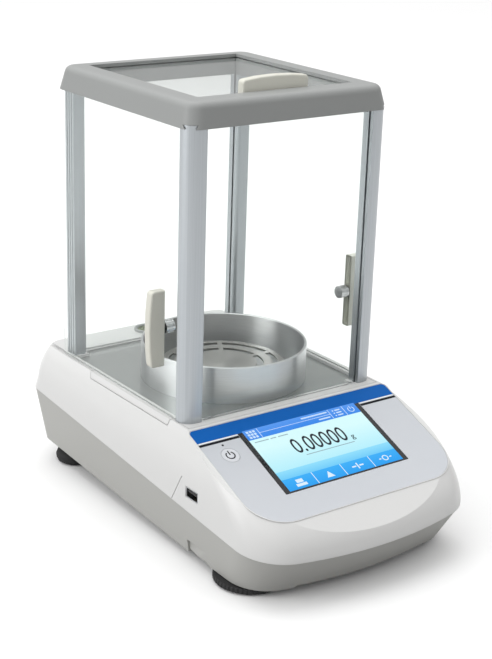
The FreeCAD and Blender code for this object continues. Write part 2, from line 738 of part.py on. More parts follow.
def power_key():
    """Power key: a round cap with a stem that presses a switch on a small board."""
    key = panel_body("power_key")
    slab(key, "XY_Plane", -1.5, 0, [(S.power_x, -S.power_drop, S.power_radius)])
    slab(key, "XY_Plane", -5, -1.4, [(S.power_x, -S.power_drop, S.power_stem)])
    switch = panel_body("key_board")
    left = S.power_x - 13
    right = S.power_x + 13
    low = -S.power_drop - 12
    high = -S.light_drop + 6
    top = -5.0 - S.power_travel - 0.3
    slab(switch, "XY_Plane", top - 3.5 - S.board_thickness, top - 3.5, [rectangle(left, right, low, high)])
    slab(switch, "XY_Plane", top - 3.6, top, [rectangle(S.power_x - 3, S.power_x + 3, -S.power_drop - 3,
                                                        -S.power_drop + 3)])
    light = panel_body("status_light")
    slab(light, "XY_Plane", top - 3.5, 0, [(S.power_x, -S.light_drop, S.light_radius)])


# ---- chamber ----

def front_column(label, side):
    """Front column: aluminium profile with a round outer corner and slots for the panes."""
    body = new_body(label)
    outer = side * S.column_outer
    inner = side * (S.column_outer - S.column_width)
    left, right = (outer, inner) if side < 0 else (inner, outer)
    front = -S.chamber_front
    back = front + S.column_depth
    top = S.frame_bottom + S.socket_depth - 0.1
    slab(body, "XY_Plane", S.deck_height, top, [rectangle(left, right, front, back)])
    round_edges(body, S.column_round, lambda edge: runs_along(edge, (0, 0, 1))
                and abs(middle(edge).x - outer.value) < 0.1 and middle(edge).y < front.value + 0.1)
    slot_end = inner + side * (S.pane_lap + 0.6)
    slot = rectangle(*ordered(inner - side * 1.0, slot_end), front + 3.2, front + 3.2 + S.glass + 0.6)
    rebate = rectangle(*ordered(side * (S.door_outer + S.groove_gap),
                                side * (S.door_outer - S.door_glass - S.groove_gap)),
                       back - 2.5, back + 1)
    core = (side * (S.column_outer - S.column_width / 2), back - S.column_depth / 2 + 1.5,
            S.screw_radius.value - 0.1)
    slab(body, "XY_Plane", S.deck_height - 1, top + 1, [slot, rebate], cut=True)
    slab(body, "XY_Plane", S.deck_height - 1, S.deck_height + 20, [core], cut=True)


def ordered(first, second):
    return (first, second) if as_size(first).value < as_size(second).value else (second, first)


def rear_column(label, side):
    """Rear column: narrower profile with grooves outside, so that the door passes beside it."""
    body = new_body(label)
    outer = side * S.rear_column_outer
    inner = side * (S.rear_column_outer - S.rear_column_width)
    front = S.rear_column_front
    back = front + S.rear_column_depth
    top = S.frame_bottom + S.socket_depth - 0.1
    slab(body, "XY_Plane", S.deck_height, top, [rectangle(*ordered(outer, inner), front, back)])
    round_edges(body, S.rear_column_round, lambda edge: runs_along(edge, (0, 0, 1))
                and abs(middle(edge).x - inner.value) < 0.1 and middle(edge).y < front.value + 0.1)
    cuts = [rectangle(*ordered(inner - side * 1.0, inner + side * (S.pane_lap + 0.6)),
                      front + 5.2, front + 5.2 + S.glass + 0.6)]
    for number in range(3):
        start = front + 2.5 + 3.5 * number
        cuts.append(rectangle(*ordered(outer + side * 1.0, outer - side * 0.7), start, start + 1.2))
    slab(body, "XY_Plane", S.deck_height - 1, top + 1, cuts, cut=True)
    core = (side * (S.rear_column_outer - S.rear_column_width / 2), front + 9.5, S.screw_radius.value - 0.1)
    slab(body, "XY_Plane", S.deck_height - 1, S.deck_height + 20, [core], cut=True)


def column_screws():
    """Four screws that hold the columns from below the deck, as one group."""
    under = S.deck_height.value - S.deck_thickness.value
    screws = []
    for x, y in column_centres():
        shank = Part.makeCylinder(S.screw_radius.value - 0.12, 22, V(x, y, under - 0.1))
        head = Part.makeCylinder(3.5, 2.6, V(x, y, under - 2.6))
        drive = Part.makeCylinder(1.4, 1.5, V(x, y, under - 2.7))
        screws.append(shank.fuse(head).cut(drive))
    return shape_node("column_screws", Part.makeCompound(screws))


def top_frame():
    """Moulded frame on the columns: round outer edges, window, grooves for all five panes."""
    body = new_body("top_frame")
    half = S.frame_width / 2
    low = S.frame_bottom
    high = low + S.frame_height
    pad = slab(body, "XY_Plane", low, high, [rectangle(-half, half, -S.frame_front, S.frame_back)])
    bind(pad, "TaperAngle", -S.frame_draft)
    round_edges(body, S.frame_corner, lambda edge: edge.BoundBox.ZLength > 1)
    top = high.value
    round_edges(body, S.frame_round, lambda edge: abs(edge.BoundBox.ZMin - top) < 1e-4
                and abs(edge.BoundBox.ZMax - top) < 1e-4)
    window_half = S.frame_opening / 2
    window = rectangle(-window_half, window_half, -S.opening_front, S.opening_back)
    slab(body, "XY_Plane", low - 1, high + 1, [window], cut=True)
    hollow = []
    for side in (-1, 1):
        for start, end in ((-14, 55), (59, 124)):
            hollow.append(rectangle(*ordered(side * (window_half + 4), side * (window_half + 14.5)),
                                    start, end))
    slab(body, "XY_Plane", low - 1, low + 10, hollow, cut=True)
    pane_low = high - S.top_glass_drop - S.glass - 0.3
    pane_half = S.frame_opening / 2 + S.pane_lap + S.groove_gap
    pane_slot = rectangle(-pane_half, pane_half, -S.opening_front - S.pane_lap - S.groove_gap,
                          S.frame_back + 5)
    slab(body, "XY_Plane", pane_low, pane_low + S.glass + 0.6, [pane_slot], cut=True)
    side_grooves = []
    for side in (-1, 1):
        edges = ordered(side * (S.door_outer + S.groove_gap),
                        side * (S.door_outer - S.door_glass - S.groove_gap))
        side_grooves.append(rectangle(*edges, -S.chamber_front + S.column_depth - 2.5, S.frame_back + 5))
    slab(body, "XY_Plane", low - 1, low + S.pane_lap + 0.5, side_grooves, cut=True)
    slab(body, "XY_Plane", low - 1, low + S.socket_depth, column_sockets(), cut=True)
    front_reach = S.column_outer - S.column_width + 0.5
    rear_reach = S.rear_column_outer - S.rear_column_width + 0.5
    front_pane = -S.chamber_front + 3.2
    rear_pane = S.rear_column_front + 5.2
    pane_grooves = [rectangle(-front_reach, front_reach, front_pane, front_pane + S.glass + 0.6),
                    rectangle(-rear_reach, rear_reach, rear_pane, rear_pane + S.glass + 0.6)]
    slab(body, "XY_Plane", low - 1, low + S.socket_depth, pane_grooves, cut=True)


def column_sockets():
    """Seats for the column tops in the underside of the frame."""
    gap = 0.1
    sockets = []
    for side in (-1, 1):
        outer = side * (S.column_outer + gap)
        inner = side * (S.column_outer - S.column_width - gap)
        front = -S.chamber_front - gap
        sockets.append(rectangle(*ordered(outer, inner), front, front + S.column_depth + 2 * gap))
        outer = side * (S.rear_column_outer + gap)
        inner = side * (S.rear_column_outer - S.rear_column_width - gap)
        front = S.rear_column_front - gap
        sockets.append(rectangle(*ordered(outer, inner), front, front + S.rear_column_depth + 2 * gap))
    return sockets


def fixed_pane(label, reach, front):
    """A fixed pane between two columns."""
    body = new_body(label)
    low = S.deck_height + 0.1
    high = S.frame_bottom + S.socket_depth - 0.5
    slab(body, "XY_Plane", low, high, [rectangle(-reach, reach, front, front + S.glass)])


def fixed_panes():
    fixed_pane("front_glass", S.column_outer - S.column_width + S.pane_lap, -S.chamber_front + 3.5)
    fixed_pane("rear_glass", S.rear_column_outer - S.rear_column_width + S.pane_lap,
               S.rear_column_front + 5.5)


def side_door(name, side):
    """Sliding side door: pane, outer grip, inner knob."""
    body = new_body(name + "_door_glass")
    edges = ordered(side * S.door_outer, side * (S.door_outer - S.door_glass))
    front = -S.chamber_front + S.column_depth - 1.8
    back = S.rear_column_front + S.rear_column_depth
    low = S.deck_height - 3
    high = S.frame_bottom + S.pane_lap
    slab(body, "XY_Plane", low, high, [rectangle(*edges, front, back)])
    middle_y = -S.grip_front + S.grip_depth / 2
    slab(body, "YZ_Plane", edges[0] - 1, edges[1] + 1, [(middle_y, S.grip_height, S.knob_screw + 0.3)],
         cut=True)
    for maker, label in ((grip, name + "_door_grip"), (knob, name + "_door_knob")):
        place(turn(maker(label), (0, 1, 0), 90 * side), side * S.door_outer, middle_y, S.grip_height)


def top_door():
    """Sliding top door: pane, grip above, knob below."""
    body = new_body("top_door_glass")
    half = S.frame_opening / 2 + S.pane_lap
    front = -S.opening_front - S.pane_lap
    back = S.opening_back + S.top_glass_tail
    high = S.frame_bottom + S.frame_height - S.top_glass_drop
    slab(body, "XY_Plane", high - S.glass, high, [rectangle(-half, half, front, back)])
    middle_y = -S.top_grip_front + S.grip_depth / 2
    slab(body, "XY_Plane", high - S.glass - 1, high + 1, [(0, middle_y, S.knob_screw + 0.3)], cut=True)
    for maker, label in ((grip, "top_door_grip"), (knob, "top_door_knob")):
        place(maker(label), 0, middle_y, high)


def grip(label):
    """Hollow grip with an arched outer edge; local Z points out of the glass, X along the grip."""
    body = new_body(label)
    half = S.grip_length / 2
    outline = [(-half, 0), (half, 0), (half, S.grip_shoulder), (half * 0.5, S.grip_reach - 0.5),
               (0, S.grip_reach), (-half * 0.5, S.grip_reach - 0.5), (-half, S.grip_shoulder)]
    slab(body, "XZ_Plane", -S.grip_depth / 2, S.grip_depth / 2, [outline])
    edge_z = S.grip_reach.value * 0.6
    round_edges(body, 3, lambda edge: runs_along(edge, (0, 1, 0)) and middle(edge).z > edge_z
                and abs(middle(edge).x) > S.grip_length.value * 0.4)
    round_edges(body, 1.4, lambda edge: not runs_along(edge, (0, 1, 0)) and middle(edge).z > 1
                and abs(middle(edge).y) > S.grip_depth.value * 0.4)
    inner = S.grip_depth / 2 - S.grip_wall
    end = half - S.grip_wall
    boss = S.grip_boss / 2
    hollows = [rectangle(-end, -boss, -inner, inner), rectangle(boss, end, -inner, inner)]
    slab(body, "XY_Plane", -1, S.grip_shoulder - S.grip_wall - 1, hollows, cut=True)
    slab(body, "XY_Plane", -1, S.knob_screw_length + 1, [(0, 0, S.knob_screw + S.running_gap)], cut=True)
    return body


def knob(label):
    """Knurled clamping knob with its screw; local Z points out of the glass."""
    body = new_body(label)
    inner_face = -S.glass - 0.2
    slab(body, "XY_Plane", inner_face - S.knob_length, inner_face, [(0, 0, S.knob_radius)])
    notch = slab(body, "XY_Plane", inner_face - S.knob_length + 1.2, inner_face - 1.2,
                 [(S.knob_radius + 0.25, 0, 0.6)], cut=True)
    repeat_round(body, notch, 18)
    slab(body, "XY_Plane", inner_face - 0.5, S.knob_screw_length - S.glass - 0.2, [(0, 0, S.knob_screw)])
    return body


# ---- weighing parts ----

def draft_ring():
    """Thin aluminium ring round the pan, with a rounded rim; it lifts off."""
    outer = S.ring_radius
    inner = S.ring_radius - S.ring_wall
    body = turned("draft_ring", [(inner, 0), (outer, 0), (outer, S.ring_height - 0.6),
                                 (outer - 0.6, S.ring_height), (inner + 0.6, S.ring_height),
                                 (inner, S.ring_height - 0.6)])
    place(body, 0, S.pan_y, S.deck_height - S.plate_recess + S.rest_gap)


def pan():
    """Openwork weighing pan: middle disc, two rings and six arms, with a socket below."""
    body = new_body("weighing_pan")
    half = S.pan_rib / 2
    low = -S.pan_thickness
    slab(body, "XY_Plane", low, 0, [(0, 0, S.pan_disc)])
    arm = slab(body, "XY_Plane", low, 0, [rectangle(S.pan_disc - 2, S.pan_radius - 1, -half, half)])
    repeat_round(body, arm, 6)
    slab(body, "XY_Plane", low, 0, [(0, 0, S.pan_radius), (0, 0, S.pan_radius - 5)])
    slab(body, "XY_Plane", low, 0, [(0, 0, S.pan_disc + 13), (0, 0, S.pan_disc + 5.5)])
    slab(body, "XY_Plane", low - S.pan_socket_length, low + 0.2, [(0, 0, S.pan_socket)])
    slab(body, "XY_Plane", low - S.pan_socket_length - 1, low - 0.5,
         [(0, 0, S.shaft_radius - 1 + S.running_gap)], cut=True)
    place(body, 0, S.pan_y, S.pan_top)


def pan_carrier():
    """Shaft that carries the pan, with a flange below it on the weighing cell."""
    tip = S.pan_top - S.pan_thickness - 1.0
    shoulder = S.pan_top - S.pan_thickness - S.pan_socket_length - S.rest_gap
    foot = S.cell_bottom + 34
    body = turned("pan_carrier", [(0, foot), (9, foot), (9, foot + 3), (S.shaft_radius, foot + 3),
                                  (S.shaft_radius, shoulder), (S.shaft_radius - 1, shoulder),
                                  (S.shaft_radius - 1, tip), (0, tip)])
    place(body, 0, S.pan_y, 0)


def weighing_cell():
    """Load receiver, fixed cell block on its base plate and the two parallel guides."""
    low = S.cell_bottom
    y = S.pan_y
    back = y + 100
    receiver = new_body("load_receiver")
    slab(receiver, "XY_Plane", low + 4, low + 34, [rectangle(-13, 13, y - 12, y + 12)])
    slab(receiver, "XY_Plane", low + 4, low + 10, [rectangle(-34, 34, y - 3, y + 3)])
    for side in (-1, 1):
        slab(receiver, "XY_Plane", low + 4, low + 10,
             [rectangle(*ordered(side * 27, side * 34), y - 28, y + 2)])
    block_low = low - 0.8
    cell = new_body("weighing_cell_block")
    slab(cell, "XY_Plane", block_low, low + 35.2, [rectangle(-30, 30, y + 30, back)])
    for height in (low + 7, low + 20):
        slab(cell, "XZ_Plane", y + 20, back + 5, [rectangle(-22, 22, height, height + 7)], cut=True)
    base = block("cell_base_plate", -40, 40, y - 30, back + 5, low - 6, low - 2)
    for across in (-33, 33):
        slab(base, "XY_Plane", low - 11.0, low - 5.9, [(across, y - 20, 4)])
        slab(base, "XY_Plane", low - 6.1, low - 5.9, [(across, back - 3, 4)])
    guide_arm("lower_guide", y, back, low - 2)
    guide_arm("upper_guide", y, back, low + 35.2)
    adjustment(y, low)


def guide_arm(label, y, back, height):
    """One fork-shaped guide of the cell, clear of the load receiver."""
    body = new_body(label)
    outline = [(-28, back - 10), (28, back - 10), (28, y - 8), (16, y - 8), (16, y + 16), (-16, y + 16),
               (-16, y - 8), (-28, y - 8)]
    slab(body, "XY_Plane", height, height + 1.2, [outline])


def adjustment(y, low):
    """Built-in adjustment weight, held by its lifter above the prongs of the load receiver."""
    radius = 6.5
    rest = low + 10 + S.lift_travel + 0.5
    lifter = new_body("adjustment_lifter")
    slab(lifter, "XY_Plane", low + 2, rest + 3, [rectangle(-20, 20, y - 30, y - 14)])
    slab(lifter, "YZ_Plane", -21, 21, [(y - 22, rest + radius, radius + S.running_gap)], cut=True)
    weight = new_body("adjustment_weight")
    slab(weight, "YZ_Plane", -34, 34, [(y - 22, rest + radius, radius)])
    for side in (-1, 1):
        slab(weight, "YZ_Plane", *ordered(side * 21, side * 25),
             [(y - 22, rest + radius, radius + 1.5)])


def level():
    """Bubble level: ring-shaped cup in the deck and the vial in it."""
    radius = S.level_radius
    cup = turned("level_cup", [(0, -7), (radius - 2, -7), (radius - 2, 0), (radius, 0), (radius, 1.8),
                               (radius - 1.5, 2.4), (radius - 2.8, 1.4), (radius - 2.8, -5), (0, -5)])
    place(cup, 0, S.level_y, S.deck_height)
    vial_radius = radius - 2.9
    vial = turned("level_vial", [(0, -4.9), (vial_radius, -4.9), (vial_radius, 0.6), (0, 1.2)])
    place(vial, 0, S.level_y, S.deck_height)


# ---- feet ----

def front_foot(name, side):
    """Levelling foot: knurled wheel, stud in the housing's boss, pad that stays still below it."""
    x = side * S.foot_x
    wheel = new_body(name + "_foot_wheel")
    top = S.wheel_bottom + S.wheel_thickness
    slab(wheel, "XY_Plane", S.wheel_bottom, top, [(0, 0, S.wheel_radius)])
    round_edges(wheel, 0.9, lambda edge: edge.Curve.TypeId == "Part::GeomCircle")
    notch = slab(wheel, "XY_Plane", S.wheel_bottom - 1, top + 1,
                 [(S.wheel_radius + 0.3, 0, S.notch_radius)], cut=True)
    repeat_round(wheel, notch, 48)
    slab(wheel, "XY_Plane", S.wheel_bottom - 1, top + 1, [(0, 0, S.stud_radius)], cut=True)
    place(wheel, x, S.foot_y, 0)
    stud_low = S.wheel_bottom + 1.5
    stud = turned(name + "_foot_stud", [(0, stud_low), (S.stud_radius, stud_low),
                                        (S.stud_radius, S.stud_top - 1), (S.stud_radius - 1, S.stud_top),
                                        (0, S.stud_top)])
    place(stud, x, S.foot_y, 0)
    neck = S.stud_radius - S.running_gap
    pad = turned(name + "_foot_pad", [(0, 0), (S.pad_radius, 0), (S.pad_radius, S.wheel_bottom - 0.1),
                                      (neck, S.wheel_bottom - 0.1), (neck, stud_low - 0.1),
                                      (0, stud_low - 0.1)])
    place(pad, x, S.foot_y, 0)


def rear_foot(name, side):
    """Fixed rubber foot at the back, bulging, with a plug in the bottom plate."""
    radius = S.rear_foot_radius
    height = S.rear_foot_height
    section = [(0, 0), (radius - 4, 0), (radius - 1.5, 1.5), (radius - 0.3, 4), (radius, 6.5),
               (radius - 1.2, height - 4.5), (radius - 4, height - 1.5), (radius - 4.5, height),
               (3.95, height), (3.95, height + 8), (0, height + 8)]
    body = turned(name + "_rear_foot", section)
    place(body, side * S.rear_foot_x, S.rear_foot_y, 0)


# ---- ports and electronics ----

def side_port():
    """USB socket in the left wall: metal shell, plastic tongue, on a small board."""
    outer = -S.housing_width / 2 + S.port_inset
    inner = outer + S.port_depth
    half_y = S.port_width / 2
    half_z = S.port_rise / 2
    shell = new_body("usb_port_shell")
    low = S.port_height - half_z
    high = S.port_height + half_z
    slab(shell, "YZ_Plane", outer, inner, [rectangle(S.port_y - half_y, S.port_y + half_y, low, high)])
    slab(shell, "YZ_Plane", outer - 1, inner - 1,
         [rectangle(S.port_y - half_y + 0.6, S.port_y + half_y - 0.6, low + 0.6, high - 0.6)], cut=True)
    tongue = new_body("usb_port_tongue")
    slab(tongue, "YZ_Plane", outer + 1.2, inner - 1,
         [rectangle(S.port_y - half_y + 1.4, S.port_y + half_y - 1.4, S.port_height - 0.2,
                    S.port_height + 1.9)])
    board = new_body("usb_board")
    slab(board, "XY_Plane", low - 0.1 - S.board_thickness, low - 0.1,
         [rectangle(outer + 2.5, inner + 8, S.port_y - half_y - 4, S.port_y + half_y + 4)])


def rear_ports():
    """Connector plate at the back with power inlet, serial port, network port and USB device port."""
    low = S.rear_panel_z
    high = low + S.rear_panel_rise
    back = S.rear_panel_y
    front = back - S.rear_panel_thickness
    half = S.rear_panel_width / 2
    mid = (low + high) / 2
    plate = new_body("connector_plate")
    slab(plate, "XZ_Plane", front, back, [rectangle(-half, half, low, high)])
    ports = [("serial_port", -35, 15.5, 6), ("network_port", -6, 8.2, 6.8), ("usb_device_port", 18, 6, 5.4)]
    cuts = [rectangle(x - wide - 0.1, x + wide + 0.1, mid - tall - 0.1, mid + tall + 0.1)
            for label, x, wide, tall in ports]
    cuts.append((42, mid, 5.6))
    slab(plate, "XZ_Plane", front - 2, back + 2, cuts, cut=True)
    for label, x, wide, tall in ports:
        port = new_body(label)
        slab(port, "XZ_Plane", back - 14, back + 1, [rectangle(x - wide, x + wide, mid - tall, mid + tall)])
        slab(port, "XZ_Plane", back - 9, back + 2,
             [rectangle(x - wide + 1.6, x + wide - 1.6, mid - tall + 1.4, mid + tall - 1.4)], cut=True)
        if label != "network_port":
            slab(port, "XZ_Plane", back - 9.5, back - 1,
                 [rectangle(x - wide + 3.4, x + wide - 3.4, mid - tall + 3.4, mid + tall - 3.4)])
    inlet = new_body("power_inlet")
    slab(inlet, "XZ_Plane", back - 13, back + 1, [(42, mid, 5.5)])
    slab(inlet, "XZ_Plane", back - 10, back + 2, [(42, mid, 3.2)], cut=True)
    slab(inlet, "XZ_Plane", back - 10.5, back - 1, [(42, mid, 1)])


def main_board():
    """Main circuit board in front of the weighing cell, with a few large components."""
    body = new_body("main_board")
    low = S.foot_lobe_height + S.foot_lobe_rise + 9
    slab(body, "XY_Plane", low, low + S.board_thickness, [rectangle(-55, 55, -125, -15)])
    parts = [rectangle(-45, -20, -110, -85), rectangle(5, 35, -60, -40), rectangle(-30, -10, -50, -35)]
    slab(body, "XY_Plane", low + S.board_thickness - 0.1, low + S.board_thickness + 3, parts)
    for x in (-50, 50):
        slab(body, "XY_Plane", low - 5.9, low + 0.1, [(x, -120, 3)])
        slab(body, "XY_Plane", low - 4.0, low + 0.1, [(x, -20, 3)])


def build():
    lower_housing()
    upper_housing()
    chamber_deck()
    floor_plate()
    control_overlay()
    screen()
    power_key()
    for name, side in (("left", -1), ("right", 1)):
        front_column("front_" + name + "_column", side)
        rear_column("rear_" + name + "_column", side)
    column_screws()
    top_frame()
    fixed_panes()
    for name, side in (("left", -1), ("right", 1)):
        side_door(name, side)
    top_door()
    draft_ring()
    pan()
    pan_carrier()
    weighing_cell()
    level()
    for name, side in (("left", -1), ("right", 1)):
        front_foot(name, side)
        rear_foot(name, side)
    side_port()
    rear_ports()
    main_board()
    doc.recompute()


def check():
    """Stop on any failed object, empty cut or broken shape."""
    for item in doc.Objects:
        if "Invalid" in item.State or "Error" in item.State:
            raise RuntimeError(f"{item.Name} failed: {item.State}")
        if item.TypeId == "PartDesign::Pocket":
            if item.BaseFeature.Shape.Volume - item.Shape.Volume < 1e-3:
                raise RuntimeError(f"{item.Name} cuts nothing")
    for item in EXPORTS:
        if item.Shape.isNull() or not item.Shape.isValid():
            raise RuntimeError(f"{item.Label} has no valid shape")


def write_parts():
    os.makedirs("parts", exist_ok=True)
    for item in EXPORTS:
        item.Shape.exportStep(f"parts/{item.Label}.step")
        box = item.Shape.optimalBoundingBox(False, False)
        print(f"{item.Label}: {len(item.Shape.Solids)} solid(s), {item.Shape.Volume / 1000:.2f} cm3, "
              f"x {box.XMin:.1f}..{box.XMax:.1f} y {box.YMin:.1f}..{box.YMax:.1f} "
              f"z {box.ZMin:.1f}..{box.ZMax:.1f}")
    print(len(EXPORTS), "nodes")


build()
check()
write_parts()
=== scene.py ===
# %% [markdown]
# # An analytical balance
# The CAD model gives every rigid piece of this laboratory balance: two plastic shells, a chamber of
# glass on four aluminium columns, sliding doors, the weighing pan and its draft ring. This notebook
# gives those pieces their real finishes, adds what is too thin or too small for the CAD model, such as
# the printing on the key panel and the picture on the screen, and sets up the studio.
# The model arrives as a fixed frame. Nothing in it is moved.
# %% Load the frame
import math

import bmesh
import bpy
from mathutils import Matrix, Vector


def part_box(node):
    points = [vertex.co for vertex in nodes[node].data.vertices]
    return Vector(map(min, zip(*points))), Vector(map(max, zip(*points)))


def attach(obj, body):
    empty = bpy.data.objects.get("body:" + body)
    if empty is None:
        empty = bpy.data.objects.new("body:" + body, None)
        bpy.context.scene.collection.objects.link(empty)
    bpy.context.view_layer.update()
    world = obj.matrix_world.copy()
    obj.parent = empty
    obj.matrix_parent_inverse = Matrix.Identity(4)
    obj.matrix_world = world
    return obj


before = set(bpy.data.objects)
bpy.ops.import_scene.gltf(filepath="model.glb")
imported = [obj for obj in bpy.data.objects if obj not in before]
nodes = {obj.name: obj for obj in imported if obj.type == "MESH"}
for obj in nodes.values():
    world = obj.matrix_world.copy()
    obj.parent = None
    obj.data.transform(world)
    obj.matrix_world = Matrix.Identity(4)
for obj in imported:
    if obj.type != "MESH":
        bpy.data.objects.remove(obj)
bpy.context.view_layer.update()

# %% [markdown]
# ## Where the sloped panel lies
# Everything printed or shown on the panel is placed in the panel's own directions: `across` to the
# right, `up` the slope and `out` of the surface. They start from the middle of the touch screen, whose
# place is read from its CAD box, so the printing follows the CAD model if its sizes change.
# %% Panel directions
PANEL_TILT = math.radians(21.5)
SCREEN_HEIGHT = 0.069
screen_low, screen_high = (Vector(corner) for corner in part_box("touch_screen"))
up_slope = Vector((0, math.cos(PANEL_TILT), math.sin(PANEL_TILT)))
out_of_panel = Vector((0, -math.sin(PANEL_TILT), math.cos(PANEL_TILT)))
screen_centre = Vector((0, screen_low.y + SCREEN_HEIGHT / 2 * up_slope.y,
                        screen_high.z - SCREEN_HEIGHT / 2 * up_slope.z))


def panel_point(across, up, out=0.0):
    """A point on the panel, in millimetres from the middle of the screen."""
    return screen_centre + (Vector((across, 0, 0)) + up_slope * up + out_of_panel * out) * 0.001


print("screen centre", [round(value, 4) for value in screen_centre])

# %% [markdown]
# ## Effects that several finishes share
# A shader node group is like a function: it is built once, has named inputs, and each material calls
# it with its own numbers. These groups put out only values that change over a surface. The Principled
# shader itself stays in each material, because exporters look for it there.
# %% Helpers for node groups and materials


def srgb(red, green, blue):
    """A colour given as it looks on a screen, 0 to 255, as the linear colour that shaders use."""
    def linear(value):
        value = value / 255
        return value / 12.92 if value <= 0.04045 else ((value + 0.055) / 1.055) ** 2.4
    return (linear(red), linear(green), linear(blue), 1.0)


def start_group(name, inputs, outputs):
    group = bpy.data.node_groups.new(name, "ShaderNodeTree")
    for label, default in inputs:
        socket = group.interface.new_socket(name=label, in_out="INPUT", socket_type="NodeSocketFloat")
        socket.default_value = default
    for label in outputs:
        group.interface.new_socket(name=label, in_out="OUTPUT", socket_type="NodeSocketFloat")
    return group, group.nodes.new("NodeGroupInput"), group.nodes.new("NodeGroupOutput")


def math_node(tree, operation, first, second=None, third=None, clamp=False):
    """A Math node; each value is a number or another node's output socket."""
    node = tree.nodes.new("ShaderNodeMath")
    node.operation = operation
    node.use_clamp = clamp
    for socket, value in zip(node.inputs, (first, second, third)):
        if value is None:
            continue
        if isinstance(value, (int, float)):
            socket.default_value = value
        else:
            tree.links.new(value, socket)
    return node.outputs[0]


def object_place(tree):
    return tree.nodes.new("ShaderNodeTexCoord").outputs["Object"]


def noise(tree, vector, scale, detail=2.0, roughness=0.5):
    node = tree.nodes.new("ShaderNodeTexNoise")
    node.inputs["Detail"].default_value = detail
    node.inputs["Roughness"].default_value = roughness
    tree.links.new(vector, node.inputs["Vector"])
    if isinstance(scale, (int, float)):
        node.inputs["Scale"].default_value = scale
    else:
        tree.links.new(scale, node.inputs["Scale"])
    return node.outputs["Fac"]


# %% [markdown]
# ### Moulded grain
# Injection-moulded plastic copies the spark-eroded face of its mould: a fine, even grain with slow
# changes in gloss where the plastic flowed. Two noises at very different sizes give both.
# %% Moulded grain group
grain_group, group_in, group_out = start_group(
    "moulded_grain", [("Grain", 1800.0), ("Clouds", 9.0), ("Roughness", 0.4), ("Change", 0.08)],
    ["Height", "Roughness", "Cloud"])
place = object_place(grain_group)
fine = noise(grain_group, place, group_in.outputs["Grain"], 2.0, 0.6)
cloud = noise(grain_group, place, group_in.outputs["Clouds"], 3.0, 0.55)
both = math_node(grain_group, "MULTIPLY_ADD", fine, 0.35, cloud)
centred = math_node(grain_group, "SUBTRACT", both, 0.67)
swing = math_node(grain_group, "MULTIPLY", centred, group_in.outputs["Change"])
rough = math_node(grain_group, "ADD", swing, group_in.outputs["Roughness"], clamp=True)
grain_group.links.new(fine, group_out.inputs["Height"])
grain_group.links.new(rough, group_out.inputs["Roughness"])
grain_group.links.new(cloud, group_out.inputs["Cloud"])
print("group moulded_grain with", len(grain_group.nodes), "nodes")

# %% [markdown]
# ### Brushed streaks
# Brushing or drawing metal leaves long scratches in one direction. A noise whose space is squeezed
# along that direction looks the same: low scale along the streak and high scale across it.
# %% Brushed streak group
streak_group, group_in, group_out = start_group(
    "brushed_streaks", [("Along X", 4.0), ("Along Y", 900.0), ("Along Z", 900.0), ("Roughness", 0.3),
                        ("Change", 0.12)], ["Height", "Roughness", "Streak"])
split = streak_group.nodes.new("ShaderNodeSeparateXYZ")
streak_group.links.new(object_place(streak_group), split.inputs[0])
join = streak_group.nodes.new("ShaderNodeCombineXYZ")
for axis in "XYZ":
    stretched = math_node(streak_group, "MULTIPLY", split.outputs[axis],
                          group_in.outputs["Along " + axis])
    streak_group.links.new(stretched, join.inputs[axis])
streak = noise(streak_group, join.outputs[0], 1.0, 3.0, 0.6)
centred = math_node(streak_group, "SUBTRACT", streak, 0.5)
swing = math_node(streak_group, "MULTIPLY", centred, group_in.outputs["Change"])
rough = math_node(streak_group, "ADD", swing, group_in.outputs["Roughness"], clamp=True)
streak_group.links.new(streak, group_out.inputs["Height"])
streak_group.links.new(rough, group_out.inputs["Roughness"])
streak_group.links.new(streak, group_out.inputs["Streak"])
print("group brushed_streaks with", len(streak_group.nodes), "nodes")

# %% [markdown]
# ### Turned rings
# The draft ring and the pan are finished while they spin, so their scratches are circles about the
# pan's upright axis. The group measures the distance from that axis and lets only it and the height
# change quickly; the angle changes slowly, so each scratch fades out after a while.
# %% Turned ring group
pan_low, pan_high = (Vector(corner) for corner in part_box("weighing_pan"))
pan_centre = (pan_low + pan_high) / 2
turned_group, group_in, group_out = start_group(
    "turned_rings", [("Rings", 1400.0), ("Length", 5.0), ("Roughness", 0.25), ("Change", 0.2)],
    ["Height", "Roughness", "Streak"])
shift = turned_group.nodes.new("ShaderNodeMapping")
shift.inputs["Location"].default_value = (-pan_centre.x, -pan_centre.y, 0)
turned_group.links.new(object_place(turned_group), shift.inputs["Vector"])
split = turned_group.nodes.new("ShaderNodeSeparateXYZ")
turned_group.links.new(shift.outputs[0], split.inputs[0])
x_squared = math_node(turned_group, "MULTIPLY", split.outputs["X"], split.outputs["X"])
radius_squared = math_node(turned_group, "MULTIPLY_ADD", split.outputs["Y"], split.outputs["Y"],
                           x_squared)
radius = math_node(turned_group, "SQRT", radius_squared)
round_x = math_node(turned_group, "DIVIDE", split.outputs["X"], radius)
round_y = math_node(turned_group, "DIVIDE", split.outputs["Y"], radius)
across = math_node(turned_group, "ADD", radius, split.outputs["Z"])
join = turned_group.nodes.new("ShaderNodeCombineXYZ")
for axis, value in (("X", round_x), ("Y", round_y)):
    turned_group.links.new(math_node(turned_group, "MULTIPLY", value, group_in.outputs["Length"]),
                           join.inputs[axis])
turned_group.links.new(math_node(turned_group, "MULTIPLY", across, group_in.outputs["Rings"]),
                       join.inputs["Z"])
streak = noise(turned_group, join.outputs[0], 1.0, 4.0, 0.65)
centred = math_node(turned_group, "SUBTRACT", streak, 0.5)
swing = math_node(turned_group, "MULTIPLY", centred, group_in.outputs["Change"])
rough = math_node(turned_group, "ADD", swing, group_in.outputs["Roughness"], clamp=True)
turned_group.links.new(streak, group_out.inputs["Height"])
turned_group.links.new(rough, group_out.inputs["Roughness"])
turned_group.links.new(streak, group_out.inputs["Streak"])
